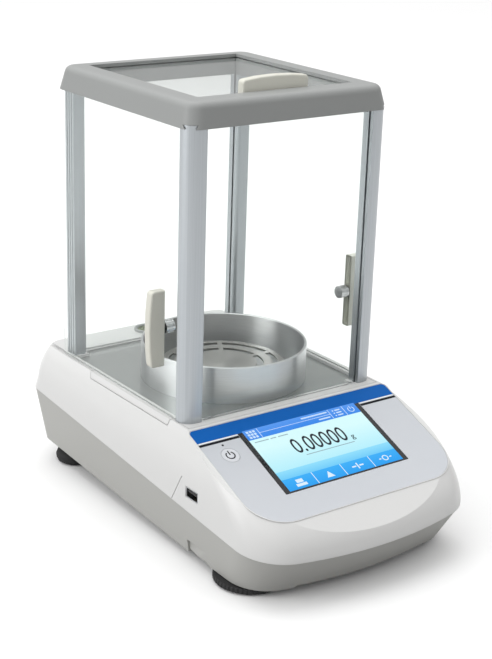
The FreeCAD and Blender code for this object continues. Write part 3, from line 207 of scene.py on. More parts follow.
print("group turned_rings with", len(turned_group.nodes), "nodes")

# %% Putting a group into a material


def finish(name, group, colour, second=None, mask="Cloud", bump=0.02, edge=0.0003, **values):
    """A material: a group's roughness and bump, two tones of colour, and softened edges."""
    material = bpy.data.materials.new(name)
    material.use_nodes = True
    tree = material.node_tree
    shader = tree.nodes["Principled BSDF"]
    effect = tree.nodes.new("ShaderNodeGroup")
    effect.node_tree = group
    for label, value in values.items():
        socket = label.replace("_", " ")
        if socket in effect.inputs:
            effect.inputs[socket].default_value = value
        else:
            shader.inputs[socket].default_value = value
    mix = tree.nodes.new("ShaderNodeMix")
    mix.data_type = "RGBA"
    tree.links.new(effect.outputs[mask], mix.inputs[0])
    mix.inputs[6].default_value = colour
    mix.inputs[7].default_value = second or colour
    tree.links.new(mix.outputs[2], shader.inputs["Base Color"])
    tree.links.new(effect.outputs["Roughness"], shader.inputs["Roughness"])
    relief = tree.nodes.new("ShaderNodeBump")
    relief.inputs["Strength"].default_value = bump
    relief.inputs["Distance"].default_value = 0.0002
    tree.links.new(effect.outputs["Height"], relief.inputs["Height"])
    if edge:
        soft_edge = tree.nodes.new("ShaderNodeBevel")
        soft_edge.samples = 4
        soft_edge.inputs["Radius"].default_value = edge
        tree.links.new(soft_edge.outputs[0], relief.inputs["Normal"])
    tree.links.new(relief.outputs[0], shader.inputs["Normal"])
    return material


QUARTER_TURN = 0.25


def turn_grain(material, strength):
    """Stretch a metal's reflections across its scratches; the scratches run round the pan's axis."""
    tree = material.node_tree
    shader = tree.nodes["Principled BSDF"]
    shader.inputs["Anisotropic"].default_value = strength
    shader.inputs["Anisotropic Rotation"].default_value = QUARTER_TURN
    split = tree.nodes.new("ShaderNodeSeparateXYZ")
    tree.links.new(object_place(tree), split.inputs[0])
    join = tree.nodes.new("ShaderNodeCombineXYZ")
    from_axis = math_node(tree, "SUBTRACT", pan_centre.y, split.outputs["Y"])
    tree.links.new(from_axis, join.inputs["X"])
    tree.links.new(math_node(tree, "SUBTRACT", split.outputs["X"], pan_centre.x), join.inputs["Y"])
    tree.links.new(join.outputs[0], shader.inputs["Tangent"])


def tone(colour, factor):
    return tuple(min(1.0, value * factor) for value in colour[:3]) + (1.0,)


# %% [markdown]
# ## Plastics
# The upper shell and the deck are an off-white with a soft gloss, the base is a light warm grey, the
# top frame a darker grey. Each has its own grain. A coat adds the faint clear gloss of polished moulds.
# %% Plastic finishes
WHITE_SHELL = srgb(226, 226, 225)
BASE_GREY = srgb(188, 188, 184)
FRAME_GREY = srgb(156, 158, 157)
GRIP_GREY = srgb(226, 225, 214)
shell_white = finish("shell_white", grain_group, tone(WHITE_SHELL, 0.985), tone(WHITE_SHELL, 1.015),
                     Grain=1500.0, Clouds=7.0, Roughness=0.34, Change=0.10, bump=0.03, edge=0.0007,
                     Coat_Weight=0.15)
deck_white = finish("deck_white", grain_group, tone(WHITE_SHELL, 0.93), tone(WHITE_SHELL, 0.96),
                    Grain=1500.0, Clouds=8.0, Roughness=0.38, Change=0.10, bump=0.03, edge=0.0005,
                    Coat_Weight=0.1)
base_grey = finish("base_grey", grain_group, tone(BASE_GREY, 0.97), tone(BASE_GREY, 1.02),
                   Grain=1300.0, Clouds=8.0, Roughness=0.48, Change=0.12, bump=0.05, edge=0.0007)
frame_grey = finish("frame_grey", grain_group, tone(FRAME_GREY, 0.97), tone(FRAME_GREY, 1.03),
                    Grain=1200.0, Clouds=10.0, Roughness=0.42, Change=0.12, bump=0.05, edge=0.0006)
grip_grey = finish("grip_grey", grain_group, tone(GRIP_GREY, 0.97), tone(GRIP_GREY, 1.03),
                   Grain=1400.0, Clouds=30.0, Roughness=0.40, Change=0.10, bump=0.04, edge=0.0005)
overlay_film = finish("overlay_film", grain_group, srgb(199, 203, 209), srgb(205, 208, 213),
                      Grain=2600.0, Clouds=14.0, Roughness=0.42, Change=0.06, bump=0.04, edge=0.0002,
                      Metallic=0.1)
key_film = finish("key_film", grain_group, srgb(214, 217, 222), srgb(219, 221, 226),
                  Grain=2600.0, Clouds=40.0, Roughness=0.36, Change=0.06, bump=0.04, edge=0.0003)
foot_black = finish("foot_black", grain_group, srgb(24, 24, 25), srgb(34, 34, 35),
                    Grain=900.0, Clouds=60.0, Roughness=0.55, Change=0.25, bump=0.12, edge=0.0003)
rubber_black = finish("rubber_black", grain_group, srgb(18, 18, 19), srgb(30, 30, 31),
                      Grain=700.0, Clouds=50.0, Roughness=0.72, Change=0.25, bump=0.2, edge=0.0004)
socket_black = finish("socket_black", grain_group, srgb(16, 16, 17), srgb(26, 26, 28),
                      Grain=1500.0, Clouds=80.0, Roughness=0.45, Change=0.2, bump=0.05, edge=0.0002)
board_green = finish("board_green", grain_group, srgb(18, 84, 48), srgb(26, 100, 58),
                     Grain=800.0, Clouds=120.0, Roughness=0.35, Change=0.2, bump=0.1, edge=0.0)
light_lens = finish("light_lens", grain_group, srgb(14, 14, 15), srgb(30, 30, 32),
                    Grain=2000.0, Clouds=200.0, Roughness=0.2, Change=0.1, bump=0.0, edge=0.0)
print("plastics:", shell_white.name, base_grey.name, frame_grey.name, grip_grey.name)

# %% [markdown]
# ## Metals
# The columns are extruded aluminium with a satin anodised skin, streaked along their length. The floor
# plate is brushed from side to side. The ring and the pan are turned. The screws and connector shells
# are plain plated steel.
# %% Metal finishes
column_satin = finish("column_satin", streak_group, srgb(156, 161, 165), srgb(190, 194, 197),
                      mask="Streak", Along_X=1500.0, Along_Y=1500.0, Along_Z=3.0, Roughness=0.36,
                      Change=0.12, bump=0.03, edge=0.0005, Metallic=0.9)
floor_steel = finish("floor_steel", streak_group, srgb(150, 153, 152), srgb(168, 171, 170),
                     mask="Streak", Along_X=6.0, Along_Y=1600.0, Along_Z=1600.0, Roughness=0.3,
                     Change=0.05, bump=0.004, edge=0.0003, Metallic=0.8)
ring_turned = finish("ring_turned", turned_group, srgb(196, 197, 198), srgb(224, 225, 226),
                     mask="Streak", Rings=1500.0, Length=4.0, Roughness=0.34, Change=0.12, bump=0.02,
                     edge=0.0003, Metallic=1.0)
pan_turned = finish("pan_turned", turned_group, srgb(165, 164, 160), srgb(190, 189, 186),
                    mask="Streak", Rings=2200.0, Length=3.0, Roughness=0.32, Change=0.1, bump=0.02,
                    edge=0.0004, Metallic=1.0)
turn_grain(ring_turned, 0.85)
turn_grain(pan_turned, 0.7)
plated_steel = finish("plated_steel", grain_group, srgb(178, 180, 183), srgb(196, 198, 200),
                      Grain=900.0, Clouds=120.0, Roughness=0.28, Change=0.2, bump=0.03, edge=0.0003,
                      Metallic=1.0)
knob_chrome = finish("knob_chrome", grain_group, srgb(190, 191, 192), srgb(208, 209, 210),
                     Grain=1200.0, Clouds=150.0, Roughness=0.2, Change=0.15, bump=0.03, edge=0.0003,
                     Metallic=1.0)
cell_cast = finish("cell_cast", grain_group, srgb(170, 173, 176), srgb(190, 192, 195),
                   Grain=600.0, Clouds=90.0, Roughness=0.4, Change=0.3, bump=0.1, edge=0.0003,
                   Metallic=1.0)
gold_contact = finish("gold_contact", grain_group, srgb(212, 175, 96), srgb(228, 192, 112),
                      Grain=1200.0, Clouds=200.0, Roughness=0.25, Change=0.1, bump=0.02, edge=0.0,
                      Metallic=1.0)
print("metals:", column_satin.name, floor_steel.name, ring_turned.name)

# %% [markdown]
# ## Glass
# The panes are clear float glass: no roughness, a green tint that only shows in the thickness, and a
# faint smear where hands wipe them. Real glass lets lamps shine through. Cycles would need many light
# paths for that, so for shadow rays alone the pane is made almost absent.
# %% Glass finishes


def glass(name, colour, roughness, index):
    material = bpy.data.materials.new(name)
    material.use_nodes = True
    tree = material.node_tree
    shader = tree.nodes["Principled BSDF"]
    shader.inputs["Base Color"].default_value = colour
    shader.inputs["Transmission Weight"].default_value = 1.0
    shader.inputs["IOR"].default_value = index
    smear = tree.nodes.new("ShaderNodeGroup")
    smear.node_tree = grain_group
    smear.inputs["Grain"].default_value = 40.0
    smear.inputs["Clouds"].default_value = 6.0
    smear.inputs["Roughness"].default_value = roughness
    smear.inputs["Change"].default_value = 0.02
    tree.links.new(smear.outputs["Roughness"], shader.inputs["Roughness"])
    path = tree.nodes.new("ShaderNodeLightPath")
    seen = math_node(tree, "MULTIPLY_ADD", path.outputs["Is Shadow Ray"], -0.92, 1.0)
    tree.links.new(seen, shader.inputs["Alpha"])
    return material


pane_glass = glass("pane_glass", (0.965, 0.985, 0.975, 1.0), 0.0, 1.22)
vial_glass = glass("vial_glass", (0.78, 0.90, 0.45, 1.0), 0.02, 1.35)
screen_cover = finish("screen_cover", grain_group, srgb(14, 15, 18), srgb(20, 21, 25), Grain=2000.0,
                      Clouds=20.0, Roughness=0.12, Change=0.05, bump=0.0, edge=0.0002)
print("glass:", pane_glass.name, vial_glass.name, screen_cover.name)

# %% [markdown]
# ## Giving the CAD pieces their finishes
# A CAD piece keeps its mesh. Only its material slots are filled.
# %% Assign finishes
FINISHES = {
    shell_white: ["upper_housing"],
    deck_white: ["chamber_deck"],
    base_grey: ["lower_housing"],
    frame_grey: ["top_frame", "level_cup"],
    grip_grey: ["left_door_grip", "right_door_grip", "top_door_grip"],
    overlay_film: ["control_overlay"],
    key_film: ["power_key"],
    light_lens: ["status_light"],
    screen_cover: ["touch_screen"],
    floor_steel: ["floor_plate"],
    column_satin: ["front_left_column", "front_right_column", "rear_left_column", "rear_right_column"],
    pane_glass: ["front_glass", "rear_glass", "left_door_glass", "right_door_glass", "top_door_glass"],
    knob_chrome: ["left_door_knob", "right_door_knob", "top_door_knob"],
    ring_turned: ["draft_ring"],
    pan_turned: ["weighing_pan", "adjustment_weight"],
    plated_steel: ["column_screws", "display_module", "pan_carrier", "lower_guide", "upper_guide",
                   "left_foot_stud", "right_foot_stud", "usb_port_shell", "connector_plate",
                   "serial_port", "network_port"],
    cell_cast: ["load_receiver", "weighing_cell_block", "cell_base_plate"],
    vial_glass: ["level_vial"],
    foot_black: ["left_foot_wheel", "right_foot_wheel"],
    rubber_black: ["left_foot_pad", "right_foot_pad", "left_rear_foot", "right_rear_foot"],
    socket_black: ["usb_port_tongue", "usb_device_port", "power_inlet", "adjustment_lifter"],
    board_green: ["display_board", "key_board", "usb_board", "main_board"],
}
finished = set()
for material, names in FINISHES.items():
    for name in names:
        mesh = nodes[name].data
        mesh.materials.clear()
        mesh.materials.append(material)
        finished.add(name)
print("finished", len(finished), "of", len(nodes), "missing", sorted(set(nodes) - finished))

# %% [markdown]
# ## Thin printed shapes
# Printing is ink on film, far too thin for the CAD model. Each colour becomes a very thin plate with
# the outline of the print, laid on the panel. A real plate of ink, rather than a picture, stays sharp
# however close the camera comes.
# %% Helpers for flat shapes


def collect(name, build, material, body):
    """Make a mesh piece from bmesh code, give it a finish and hang it on a body."""
    work = bmesh.new()
    build(work)
    bmesh.ops.recalc_face_normals(work, faces=work.faces)
    mesh = bpy.data.meshes.new(name)
    work.to_mesh(mesh)
    work.free()
    piece = bpy.data.objects.new(name, mesh)
    bpy.context.collection.objects.link(piece)
    mesh.materials.append(material)
    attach(piece, body)
    print(name, len(mesh.polygons), "faces on", body)


def add_plate(work, outline, low, high, place_point=panel_point):
    """A plate between two heights over a closed outline."""
    lower = [work.verts.new(place_point(across, up, low)) for across, up in outline]
    upper = [work.verts.new(place_point(across, up, high)) for across, up in outline]
    work.faces.new(upper)
    work.faces.new(list(reversed(lower)))
    count = len(outline)
    for number in range(count):
        following = (number + 1) % count
        work.faces.new([lower[number], lower[following], upper[following], upper[number]])


def box_outline(left, right, low, high):
    return [(left, low), (right, low), (right, high), (left, high)]


def round_outline(left, right, low, high, radii, steps=8):
    """A rectangle whose corners, from the lower left round to the upper left, have their own radii."""
    corners = [(left, low, 1, 1, 180), (right, low, -1, 1, 270), (right, high, -1, -1, 0),
               (left, high, 1, -1, 90)]
    points = []
    for (x, y, side_x, side_y, start), radius in zip(corners, radii):
        for step in range(steps + 1):
            angle = math.radians(start + 90 * step / steps)
            points.append((x + side_x * radius + radius * math.cos(angle),
                           y + side_y * radius + radius * math.sin(angle)))
    return points


def ring_outline(centre_x, centre_y, inner, outer, start, end, steps=36):
    """Part of a ring between two angles in degrees, counted from the right."""
    points = []
    for radius, order in ((outer, range(steps + 1)), (inner, range(steps, -1, -1))):
        for step in order:
            angle = math.radians(start + (end - start) * step / steps)
            points.append((centre_x + radius * math.cos(angle), centre_y + radius * math.sin(angle)))
    return points


# %% [markdown]
# ### Ink finishes
# Ink on a textured film is matt, with a very light unevenness where the screen printing laid it down.
# %% Ink
INK_BLUE = srgb(14, 96, 180)
ink_blue = finish("ink_blue", grain_group, tone(INK_BLUE, 0.94), tone(INK_BLUE, 1.06), Grain=2600.0,
                  Clouds=20.0, Roughness=0.5, Change=0.06, bump=0.03, edge=0.0, Specular_IOR_Level=0.08)
ink_black = finish("ink_black", grain_group, srgb(26, 28, 34), srgb(34, 36, 42), Grain=2600.0,
                   Clouds=20.0, Roughness=0.5, Change=0.06, bump=0.03, edge=0.0, Specular_IOR_Level=0.1)
ink_white = finish("ink_white", grain_group, srgb(236, 238, 240), srgb(242, 243, 245), Grain=2600.0,
                   Clouds=20.0, Roughness=0.4, Change=0.06, bump=0.03, edge=0.0)

# %% Printed bands
HALF_OVERLAY = (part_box("control_overlay")[1][0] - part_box("control_overlay")[0][0]) / 2 * 1000
OVERLAY_TOP = 45.5
INK = 0.06
BAND_LOW = 32.0
RULE_LOW = 28.0
SCREEN_SIDE = 59.0
RIM_GAP = 0.25
rim = HALF_OVERLAY - RIM_GAP


def build_blue_band(work):
    outline = round_outline(-rim, rim, BAND_LOW, OVERLAY_TOP - RIM_GAP, (0.4, 0.4, 3.8, 3.8))
    add_plate(work, outline, 0, INK)


def build_white_rule(work):
    for side in (-1, 1):
        left, right = sorted((side * SCREEN_SIDE, side * (rim - 1.0)))
        add_plate(work, box_outline(left, right, BAND_LOW - 1.3, BAND_LOW - 0.3), 0, INK)


def build_black_rule(work):
    for side in (-1, 1):
        left, right = sorted((side * SCREEN_SIDE, side * rim))
        add_plate(work, box_outline(left, right, RULE_LOW, BAND_LOW - 1.7), 0, INK)


collect("blue_band", build_blue_band, ink_blue, "base")
collect("white_rule", build_white_rule, ink_white, "base")
collect("black_rule", build_black_rule, ink_black, "base")

# %% [markdown]
# ### The sign on the power key
# The usual sign for standby: a ring open at the top with a stroke in the gap. It is printed on the key,
# so it moves with the key.
# %% Power sign
key_low, key_high = (Vector(corner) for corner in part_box("power_key"))
KEY_X = (key_low.x + key_high.x) * 500
KEY_UP = 14.0


def build_power_sign(work):
    add_plate(work, ring_outline(KEY_X, KEY_UP, 2.9, 3.9, 122, 418), 0, INK)
    add_plate(work, round_outline(KEY_X - 0.5, KEY_X + 0.5, KEY_UP + 0.4, KEY_UP + 4.8,
                                  (0.3, 0.3, 0.3, 0.3), 3), 0, INK)


collect("power_sign", build_power_sign, ink_black, "power_button")

# %% [markdown]
# ## The picture on the screen
# A liquid-crystal screen glows by itself, so its picture uses Emission Color. Each field of the
# background is deeper in colour at its lower edge and paler at its upper edge: the fade is worked out
# from the distance up the panel. The figures and signs are thin plates in front of it.
# %% Glowing finishes


def glow(name, low_colour, high_colour, low=-0.034, high=0.034):
    """A lit colour that fades up the panel between two heights from the middle of the screen."""
    material = bpy.data.materials.new(name)
    material.use_nodes = True
    tree = material.node_tree
    shader = tree.nodes["Principled BSDF"]
    shader.inputs["Base Color"].default_value = (0.01, 0.01, 0.012, 1)
    shader.inputs["Roughness"].default_value = 0.16
    shader.inputs["Specular IOR Level"].default_value = 0.12
    mapping = tree.nodes.new("ShaderNodeMapping")
    mapping.vector_type = "TEXTURE"
    mapping.inputs["Location"].default_value = screen_centre
    mapping.inputs["Rotation"].default_value = (PANEL_TILT, 0, 0)
    tree.links.new(object_place(tree), mapping.inputs["Vector"])
    split = tree.nodes.new("ShaderNodeSeparateXYZ")
    tree.links.new(mapping.outputs[0], split.inputs[0])
    spread = tree.nodes.new("ShaderNodeMapRange")
    tree.links.new(split.outputs["Y"], spread.inputs["Value"])
    spread.inputs["From Min"].default_value = low
    spread.inputs["From Max"].default_value = high
    mix = tree.nodes.new("ShaderNodeMix")
    mix.data_type = "RGBA"
    tree.links.new(spread.outputs["Result"], mix.inputs[0])
    mix.inputs[6].default_value = low_colour
    mix.inputs[7].default_value = high_colour
    tree.links.new(mix.outputs[2], shader.inputs["Emission Color"])
    shader.inputs["Emission Strength"].default_value = 1.0
    return material


field_glow = glow("field_glow", srgb(176, 236, 250), srgb(214, 250, 252), -0.016, 0.012)
shade_glow = glow("shade_glow", srgb(104, 200, 246), srgb(140, 220, 250), -0.022, -0.014)
header_glow = glow("header_glow", srgb(44, 132, 232), srgb(84, 152, 238), 0.022, 0.034)
button_glow = glow("button_glow", srgb(20, 156, 240), srgb(48, 172, 246), -0.034, -0.022)
white_glow = glow("white_glow", srgb(222, 240, 252), srgb(196, 222, 250))
figure_ink = glow("figure_ink", srgb(20, 26, 38), srgb(20, 26, 38))
grey_glow = glow("grey_glow", srgb(150, 178, 188), srgb(150, 178, 188))

# %% Screen fields
SCREEN_HALF = 54.2
PICTURE_TOP = 33.2
PICTURE_LOW = -33.2
HEADER_LOW = 22.5
BUTTON_TOP = -21.5
SHADE_TOP = -13.5
GLASS_OUT = 0.02
PICTURE_FRONT = 0.07
RULE_FRONT = 0.11
SIGN_FRONT = 0.12


def screen_field(low, high):
    """Builds one lit field over the full width of the screen."""
    def build(work):
        outline = box_outline(-SCREEN_HALF, SCREEN_HALF, low, high)
        add_plate(work, outline, GLASS_OUT, PICTURE_FRONT)
    return build


for name, low, high, material in (("screen_field", SHADE_TOP, HEADER_LOW, field_glow),
                                  ("screen_shade", BUTTON_TOP, SHADE_TOP, shade_glow),
                                  ("screen_header", HEADER_LOW, PICTURE_TOP, header_glow),
                                  ("screen_buttons", PICTURE_LOW, BUTTON_TOP, button_glow)):
    collect(name, screen_field(low, high), material, "base")

# %% [markdown]
# ### Figures
# A text object is the quickest way to a figure's outline. It is turned into a mesh first, and then each
# of its points is placed on the panel, so the finished object itself sits unturned at the origin.
# %% Figures of the reading
FIGURE_OUT = 0.12
FIGURE_THICKNESS = 0.05
FIGURE_SWELL = 0.003


def figure_points(text):
    """A text's mesh as plain points and faces."""
    curve = bpy.data.curves.new("figures", "FONT")
    curve.body = text
    curve.size = 1.0
    curve.resolution_u = 6
    curve.offset = FIGURE_SWELL
    source = bpy.data.objects.new("figures", curve)
    bpy.context.collection.objects.link(source)
    bpy.context.view_layer.update()
    mesh = bpy.data.meshes.new_from_object(source.evaluated_get(bpy.context.evaluated_depsgraph_get()))
    points = [(vertex.co.x, vertex.co.y) for vertex in mesh.vertices]
    faces = [tuple(polygon.vertices) for polygon in mesh.polygons]
    bpy.data.objects.remove(source)
    bpy.data.curves.remove(curve)
    bpy.data.meshes.remove(mesh)
    return points, faces


def thicken(work, sheet):
    """Give a flat sheet on the panel a back and an edge, and add it to the piece."""
    bmesh.ops.remove_doubles(sheet, verts=sheet.verts, dist=1e-6)
    bmesh.ops.recalc_face_normals(sheet, faces=sheet.faces)
    raised = bmesh.ops.extrude_face_region(sheet, geom=list(sheet.faces))
    moved = [item for item in raised["geom"] if isinstance(item, bmesh.types.BMVert)]
    bmesh.ops.translate(sheet, verts=moved, vec=out_of_panel * FIGURE_THICKNESS * 0.001)
    bmesh.ops.recalc_face_normals(sheet, faces=sheet.faces)
    plate = bpy.data.meshes.new("figures")
    sheet.to_mesh(plate)
    sheet.free()
    work.from_mesh(plate)
    bpy.data.meshes.remove(plate)


def add_figures(work, text, left, right, low, high):
    """A text stretched to fill a box on the panel."""
    points, faces = figure_points(text)
    lowest = [min(point[axis] for point in points) for axis in (0, 1)]
    highest = [max(point[axis] for point in points) for axis in (0, 1)]
    wide = (right - left) / (highest[0] - lowest[0])
    tall = (high - low) / (highest[1] - lowest[1])
    sheet = bmesh.new()
    corners = [sheet.verts.new(panel_point(left + (x - lowest[0]) * wide, low + (y - lowest[1]) * tall,
                                           FIGURE_OUT)) for x, y in points]
    for face in faces:
        sheet.faces.new([corners[number] for number in face])
    thicken(work, sheet)


def build_reading(work):
    add_figures(work, "0.00000", -24.6, 25.4, -1.5, 13.8)


def build_unit(work):
    add_figures(work, "g", 28.0, 31.4, -2.8, 2.2)


collect("reading", build_reading, figure_ink, "base")
collect("unit", build_unit, figure_ink, "base")

# %% [markdown]
# ### Rules and signs on the picture
# Plain bars stand where the real screen shows words, and simple signs stand on the touch keys: a grid,
# a list, a sheet, an arrow, and a ring for zero.
# %% Signs


def add_sign(work, outline):
    add_plate(work, outline, PICTURE_FRONT, SIGN_FRONT)


def build_signs(work):
    for left in (-41.5, 27.0, 41.0):
        add_sign(work, box_outline(left, left + 0.5, HEADER_LOW + 0.4, PICTURE_TOP - 0.4))
    add_sign(work, box_outline(-41.0, 27.0, 27.6, 28.0))
    for column in range(3):
        for row in range(3):
            left = -51.8 + column * 2.9
            low = 23.8 + row * 2.9
            add_sign(work, box_outline(left, left + 2.1, low, low + 2.1))
    for left, right, low in ((0.0, 25.5, 30.0), (14.0, 25.5, 24.6)):
        add_sign(work, round_outline(left, right, low, low + 1.3, (0.6,) * 4, 3))
    for row in range(3):
        low = 24.4 + row * 2.7
        add_sign(work, round_outline(30.5, 31.9, low, low + 1.2, (0.5,) * 4, 3))
        add_sign(work, round_outline(33.0, 38.2, low, low + 1.2, (0.5,) * 4, 3))
    add_sign(work, ring_outline(47.8, 27.6, 2.3, 3.0, 125, 415))
    add_sign(work, box_outline(47.5, 48.1, 28.0, 31.6))
    for left in (-27.4, -0.3, 26.8):
        add_sign(work, box_outline(left, left + 0.6, PICTURE_LOW, BUTTON_TOP))
    add_sign(work, box_outline(-45.5, -36.0, -31.0, -28.4))
    add_sign(work, box_outline(-43.8, -37.7, -27.6, -24.2))
    add_sign(work, [(-17.2, -30.6), (-10.2, -30.6), (-13.7, -24.6)])
    add_sign(work, round_outline(8.0, 12.0, -28.2, -26.9, (0.5,) * 4, 3))
    add_sign(work, round_outline(15.0, 19.0, -28.2, -26.9, (0.5,) * 4, 3))
    add_sign(work, round_outline(12.9, 14.1, -30.6, -24.5, (0.5,) * 4, 3))
    add_sign(work, ring_outline(40.6, -27.5, 1.9, 2.8, 0, 359.9))
    for left in (34.6, 44.6):
        add_sign(work, round_outline(left, left + 2.2, -28.0, -27.0, (0.4,) * 4, 3))


def add_rule(work, left, right, low, high):
    outline = round_outline(left, right, low, high, (0.4,) * 4, 3)
    add_plate(work, outline, PICTURE_FRONT, RULE_FRONT)


def build_faint_rules(work):
    add_rule(work, -19.0, 27.8, -4.9, -4.1)
    for left, right in ((-51.0, -38.0), (-36.5, -31.0), (-29.5, -20.0)):
        add_rule(work, left, right, 19.0, 19.9)


collect("screen_signs", build_signs, white_glow, "base")
collect("faint_rules", build_faint_rules, grey_glow, "base")

# %% [markdown]
# ## What repeats: Geometry Nodes
# Contacts, pins and wires are one small bar many times. A Geometry Nodes tree places them from a mesh
# whose points say where each one goes. The tree has named inputs for its sizes. Its end turns the
# instances into real faces and gives them their finish, and the result is stored as a plain mesh.
# %% A tree that puts a small bar on every point


def scatter_tree(name, material):
    tree = bpy.data.node_groups.new(name, "GeometryNodeTree")
    tree.interface.new_socket(name="Geometry", in_out="INPUT", socket_type="NodeSocketGeometry")
    for label, default in (("Width", 0.003), ("Depth", 0.001), ("Length", 0.001)):
        socket = tree.interface.new_socket(name=label, in_out="INPUT", socket_type="NodeSocketFloat")
        socket.default_value = default
    tree.interface.new_socket(name="Geometry", in_out="OUTPUT", socket_type="NodeSocketGeometry")
    enter = tree.nodes.new("NodeGroupInput")
    leave = tree.nodes.new("NodeGroupOutput")
    bar = tree.nodes.new("GeometryNodeMeshCube")
    size = tree.nodes.new("ShaderNodeCombineXYZ")
    for axis, label in zip("XYZ", ("Width", "Depth", "Length")):
        tree.links.new(enter.outputs[label], size.inputs[axis])
    tree.links.new(size.outputs[0], bar.inputs["Size"])
    spread = tree.nodes.new("GeometryNodeInstanceOnPoints")
    tree.links.new(enter.outputs["Geometry"], spread.inputs["Points"])
    tree.links.new(bar.outputs["Mesh"], spread.inputs["Instance"])
    real = tree.nodes.new("GeometryNodeRealizeInstances")
    tree.links.new(spread.outputs[0], real.inputs[0])
    paint = tree.nodes.new("GeometryNodeSetMaterial")
    paint.inputs["Material"].default_value = material
    tree.links.new(real.outputs[0], paint.inputs["Geometry"])
    tree.links.new(paint.outputs[0], leave.inputs[0])
    return tree


def run_tree(name, source_mesh, tree, sizes, material, body):
    """Run a tree over a source mesh and keep the result as a plain piece."""
    source = bpy.data.objects.new(name + "_points", source_mesh)
    bpy.context.collection.objects.link(source)
    modifier = source.modifiers.new("tree", "NODES")
    modifier.node_group = tree
    for item in tree.interface.items_tree:
        if item.in_out == "INPUT" and item.name in sizes:
            modifier[item.identifier] = sizes[item.name]
    bpy.context.view_layer.update()
    mesh = bpy.data.meshes.new_from_object(source.evaluated_get(bpy.context.evaluated_depsgraph_get()))
    mesh.name = name
    bpy.data.objects.remove(source)
    if not mesh.materials:
        mesh.materials.append(material)
    piece = bpy.data.objects.new(name, mesh)
    bpy.context.collection.objects.link(piece)
    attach(piece, body)
    print(name, len(mesh.polygons), "faces on", body)


def points_mesh(name, points):
    mesh = bpy.data.meshes.new(name)
    mesh.from_pydata([tuple(point) for point in points], [], [])
    return mesh


# %% [markdown]
# ### Contacts and pins of the sockets
# The side socket has four flat contacts under its tongue; the serial socket at the back has nine
# pins in two rows; the network socket has eight fine wires.
# %% Contacts and pins
tongue_low, tongue_high = (Vector(corner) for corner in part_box("usb_port_tongue"))
serial_low, serial_high = (Vector(corner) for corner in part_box("serial_port"))
network_low, network_high = (Vector(corner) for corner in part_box("network_port"))
contact_tree = scatter_tree("contacts", gold_contact)
tongue_mid = (tongue_low + tongue_high) / 2
CONTACT_PITCH = 0.0022
usb_points = [Vector((tongue_low.x + 0.0045, tongue_mid.y + step * CONTACT_PITCH,
                      tongue_low.z - 0.0001)) for step in (-1.5, -0.5, 0.5, 1.5)]
run_tree("side_contacts", points_mesh("usb_points", usb_points), contact_tree,
         {"Width": 0.007, "Depth": 0.0011, "Length": 0.0003}, gold_contact, "base")
network_mid = (network_low + network_high) / 2
WIRE_PITCH = 0.00105
wire_points = [Vector((network_mid.x + (step - 3.5) * WIRE_PITCH, network_low.y + 0.0085,
                       network_high.z - 0.0032)) for step in range(8)]
run_tree("network_wires", points_mesh("wire_points", wire_points), contact_tree,
         {"Width": 0.0004, "Depth": 0.005, "Length": 0.0004}, gold_contact, "base")
serial_mid = (serial_low + serial_high) / 2
PIN_PITCH = 0.00274
PIN_ROW = 0.0013
pin_depth = serial_high.y - 0.0003
pin_points = []
for count, rise in ((5, PIN_ROW), (4, -PIN_ROW)):
    for step in range(count):
        from_middle = (step - (count - 1) / 2) * PIN_PITCH
        pin_points.append(Vector((serial_mid.x + from_middle, pin_depth, serial_mid.z + rise)))
run_tree("serial_pins", points_mesh("pin_points", pin_points), contact_tree,
         {"Width": 0.0009, "Depth": 0.0025, "Length": 0.0009}, gold_contact, "base")

# %% [markdown]
# ### Bead round the key panel
# A narrow moulded bead frames the overlay. It follows a path, so its tree sweeps a small circle along
# the overlay's outline.
# %% Bead
bead_tree = bpy.data.node_groups.new("panel_bead", "GeometryNodeTree")
bead_tree.interface.new_socket(name="Geometry", in_out="INPUT", socket_type="NodeSocketGeometry")
BEAD_RADIUS = 0.00042
bead_size = bead_tree.interface.new_socket(name="Bead Radius", in_out="INPUT",
                                           socket_type="NodeSocketFloat")
bead_size.default_value = BEAD_RADIUS
bead_tree.interface.new_socket(name="Geometry", in_out="OUTPUT", socket_type="NodeSocketGeometry")
enter = bead_tree.nodes.new("NodeGroupInput")
leave = bead_tree.nodes.new("NodeGroupOutput")
to_curve = bead_tree.nodes.new("GeometryNodeMeshToCurve")
circle = bead_tree.nodes.new("GeometryNodeCurvePrimitiveCircle")
circle.inputs["Resolution"].default_value = 8
sweep = bead_tree.nodes.new("GeometryNodeCurveToMesh")
paint = bead_tree.nodes.new("GeometryNodeSetMaterial")
paint.inputs["Material"].default_value = shell_white
real = bead_tree.nodes.new("GeometryNodeRealizeInstances")
bead_tree.links.new(enter.outputs["Geometry"], to_curve.inputs["Mesh"])
bead_tree.links.new(enter.outputs["Bead Radius"], circle.inputs["Radius"])
bead_tree.links.new(to_curve.outputs[0], sweep.inputs["Curve"])
bead_tree.links.new(circle.outputs[0], sweep.inputs["Profile Curve"])
bead_tree.links.new(sweep.outputs[0], real.inputs[0])
bead_tree.links.new(real.outputs[0], paint.inputs["Geometry"])
bead_tree.links.new(paint.outputs[0], leave.inputs[0])
OVERLAY_LENGTH = 104.5
BEAD_OUT = 0.55
LOW_CORNER = 30.5
HIGH_CORNER = 4.5
edge = HALF_OVERLAY + BEAD_OUT
outline = round_outline(-edge, edge, OVERLAY_TOP - OVERLAY_LENGTH - BEAD_OUT, OVERLAY_TOP + BEAD_OUT,
                        (LOW_CORNER, LOW_CORNER, HIGH_CORNER, HIGH_CORNER), 24)
bead_mesh = bpy.data.meshes.new("bead_path")
bead_mesh.from_pydata([tuple(panel_point(x, y, 0.0)) for x, y in outline],
                      [(number, (number + 1) % len(outline)) for number in range(len(outline))], [])
run_tree("panel_bead", bead_mesh, bead_tree, {"Bead Radius": BEAD_RADIUS}, shell_white, "base")

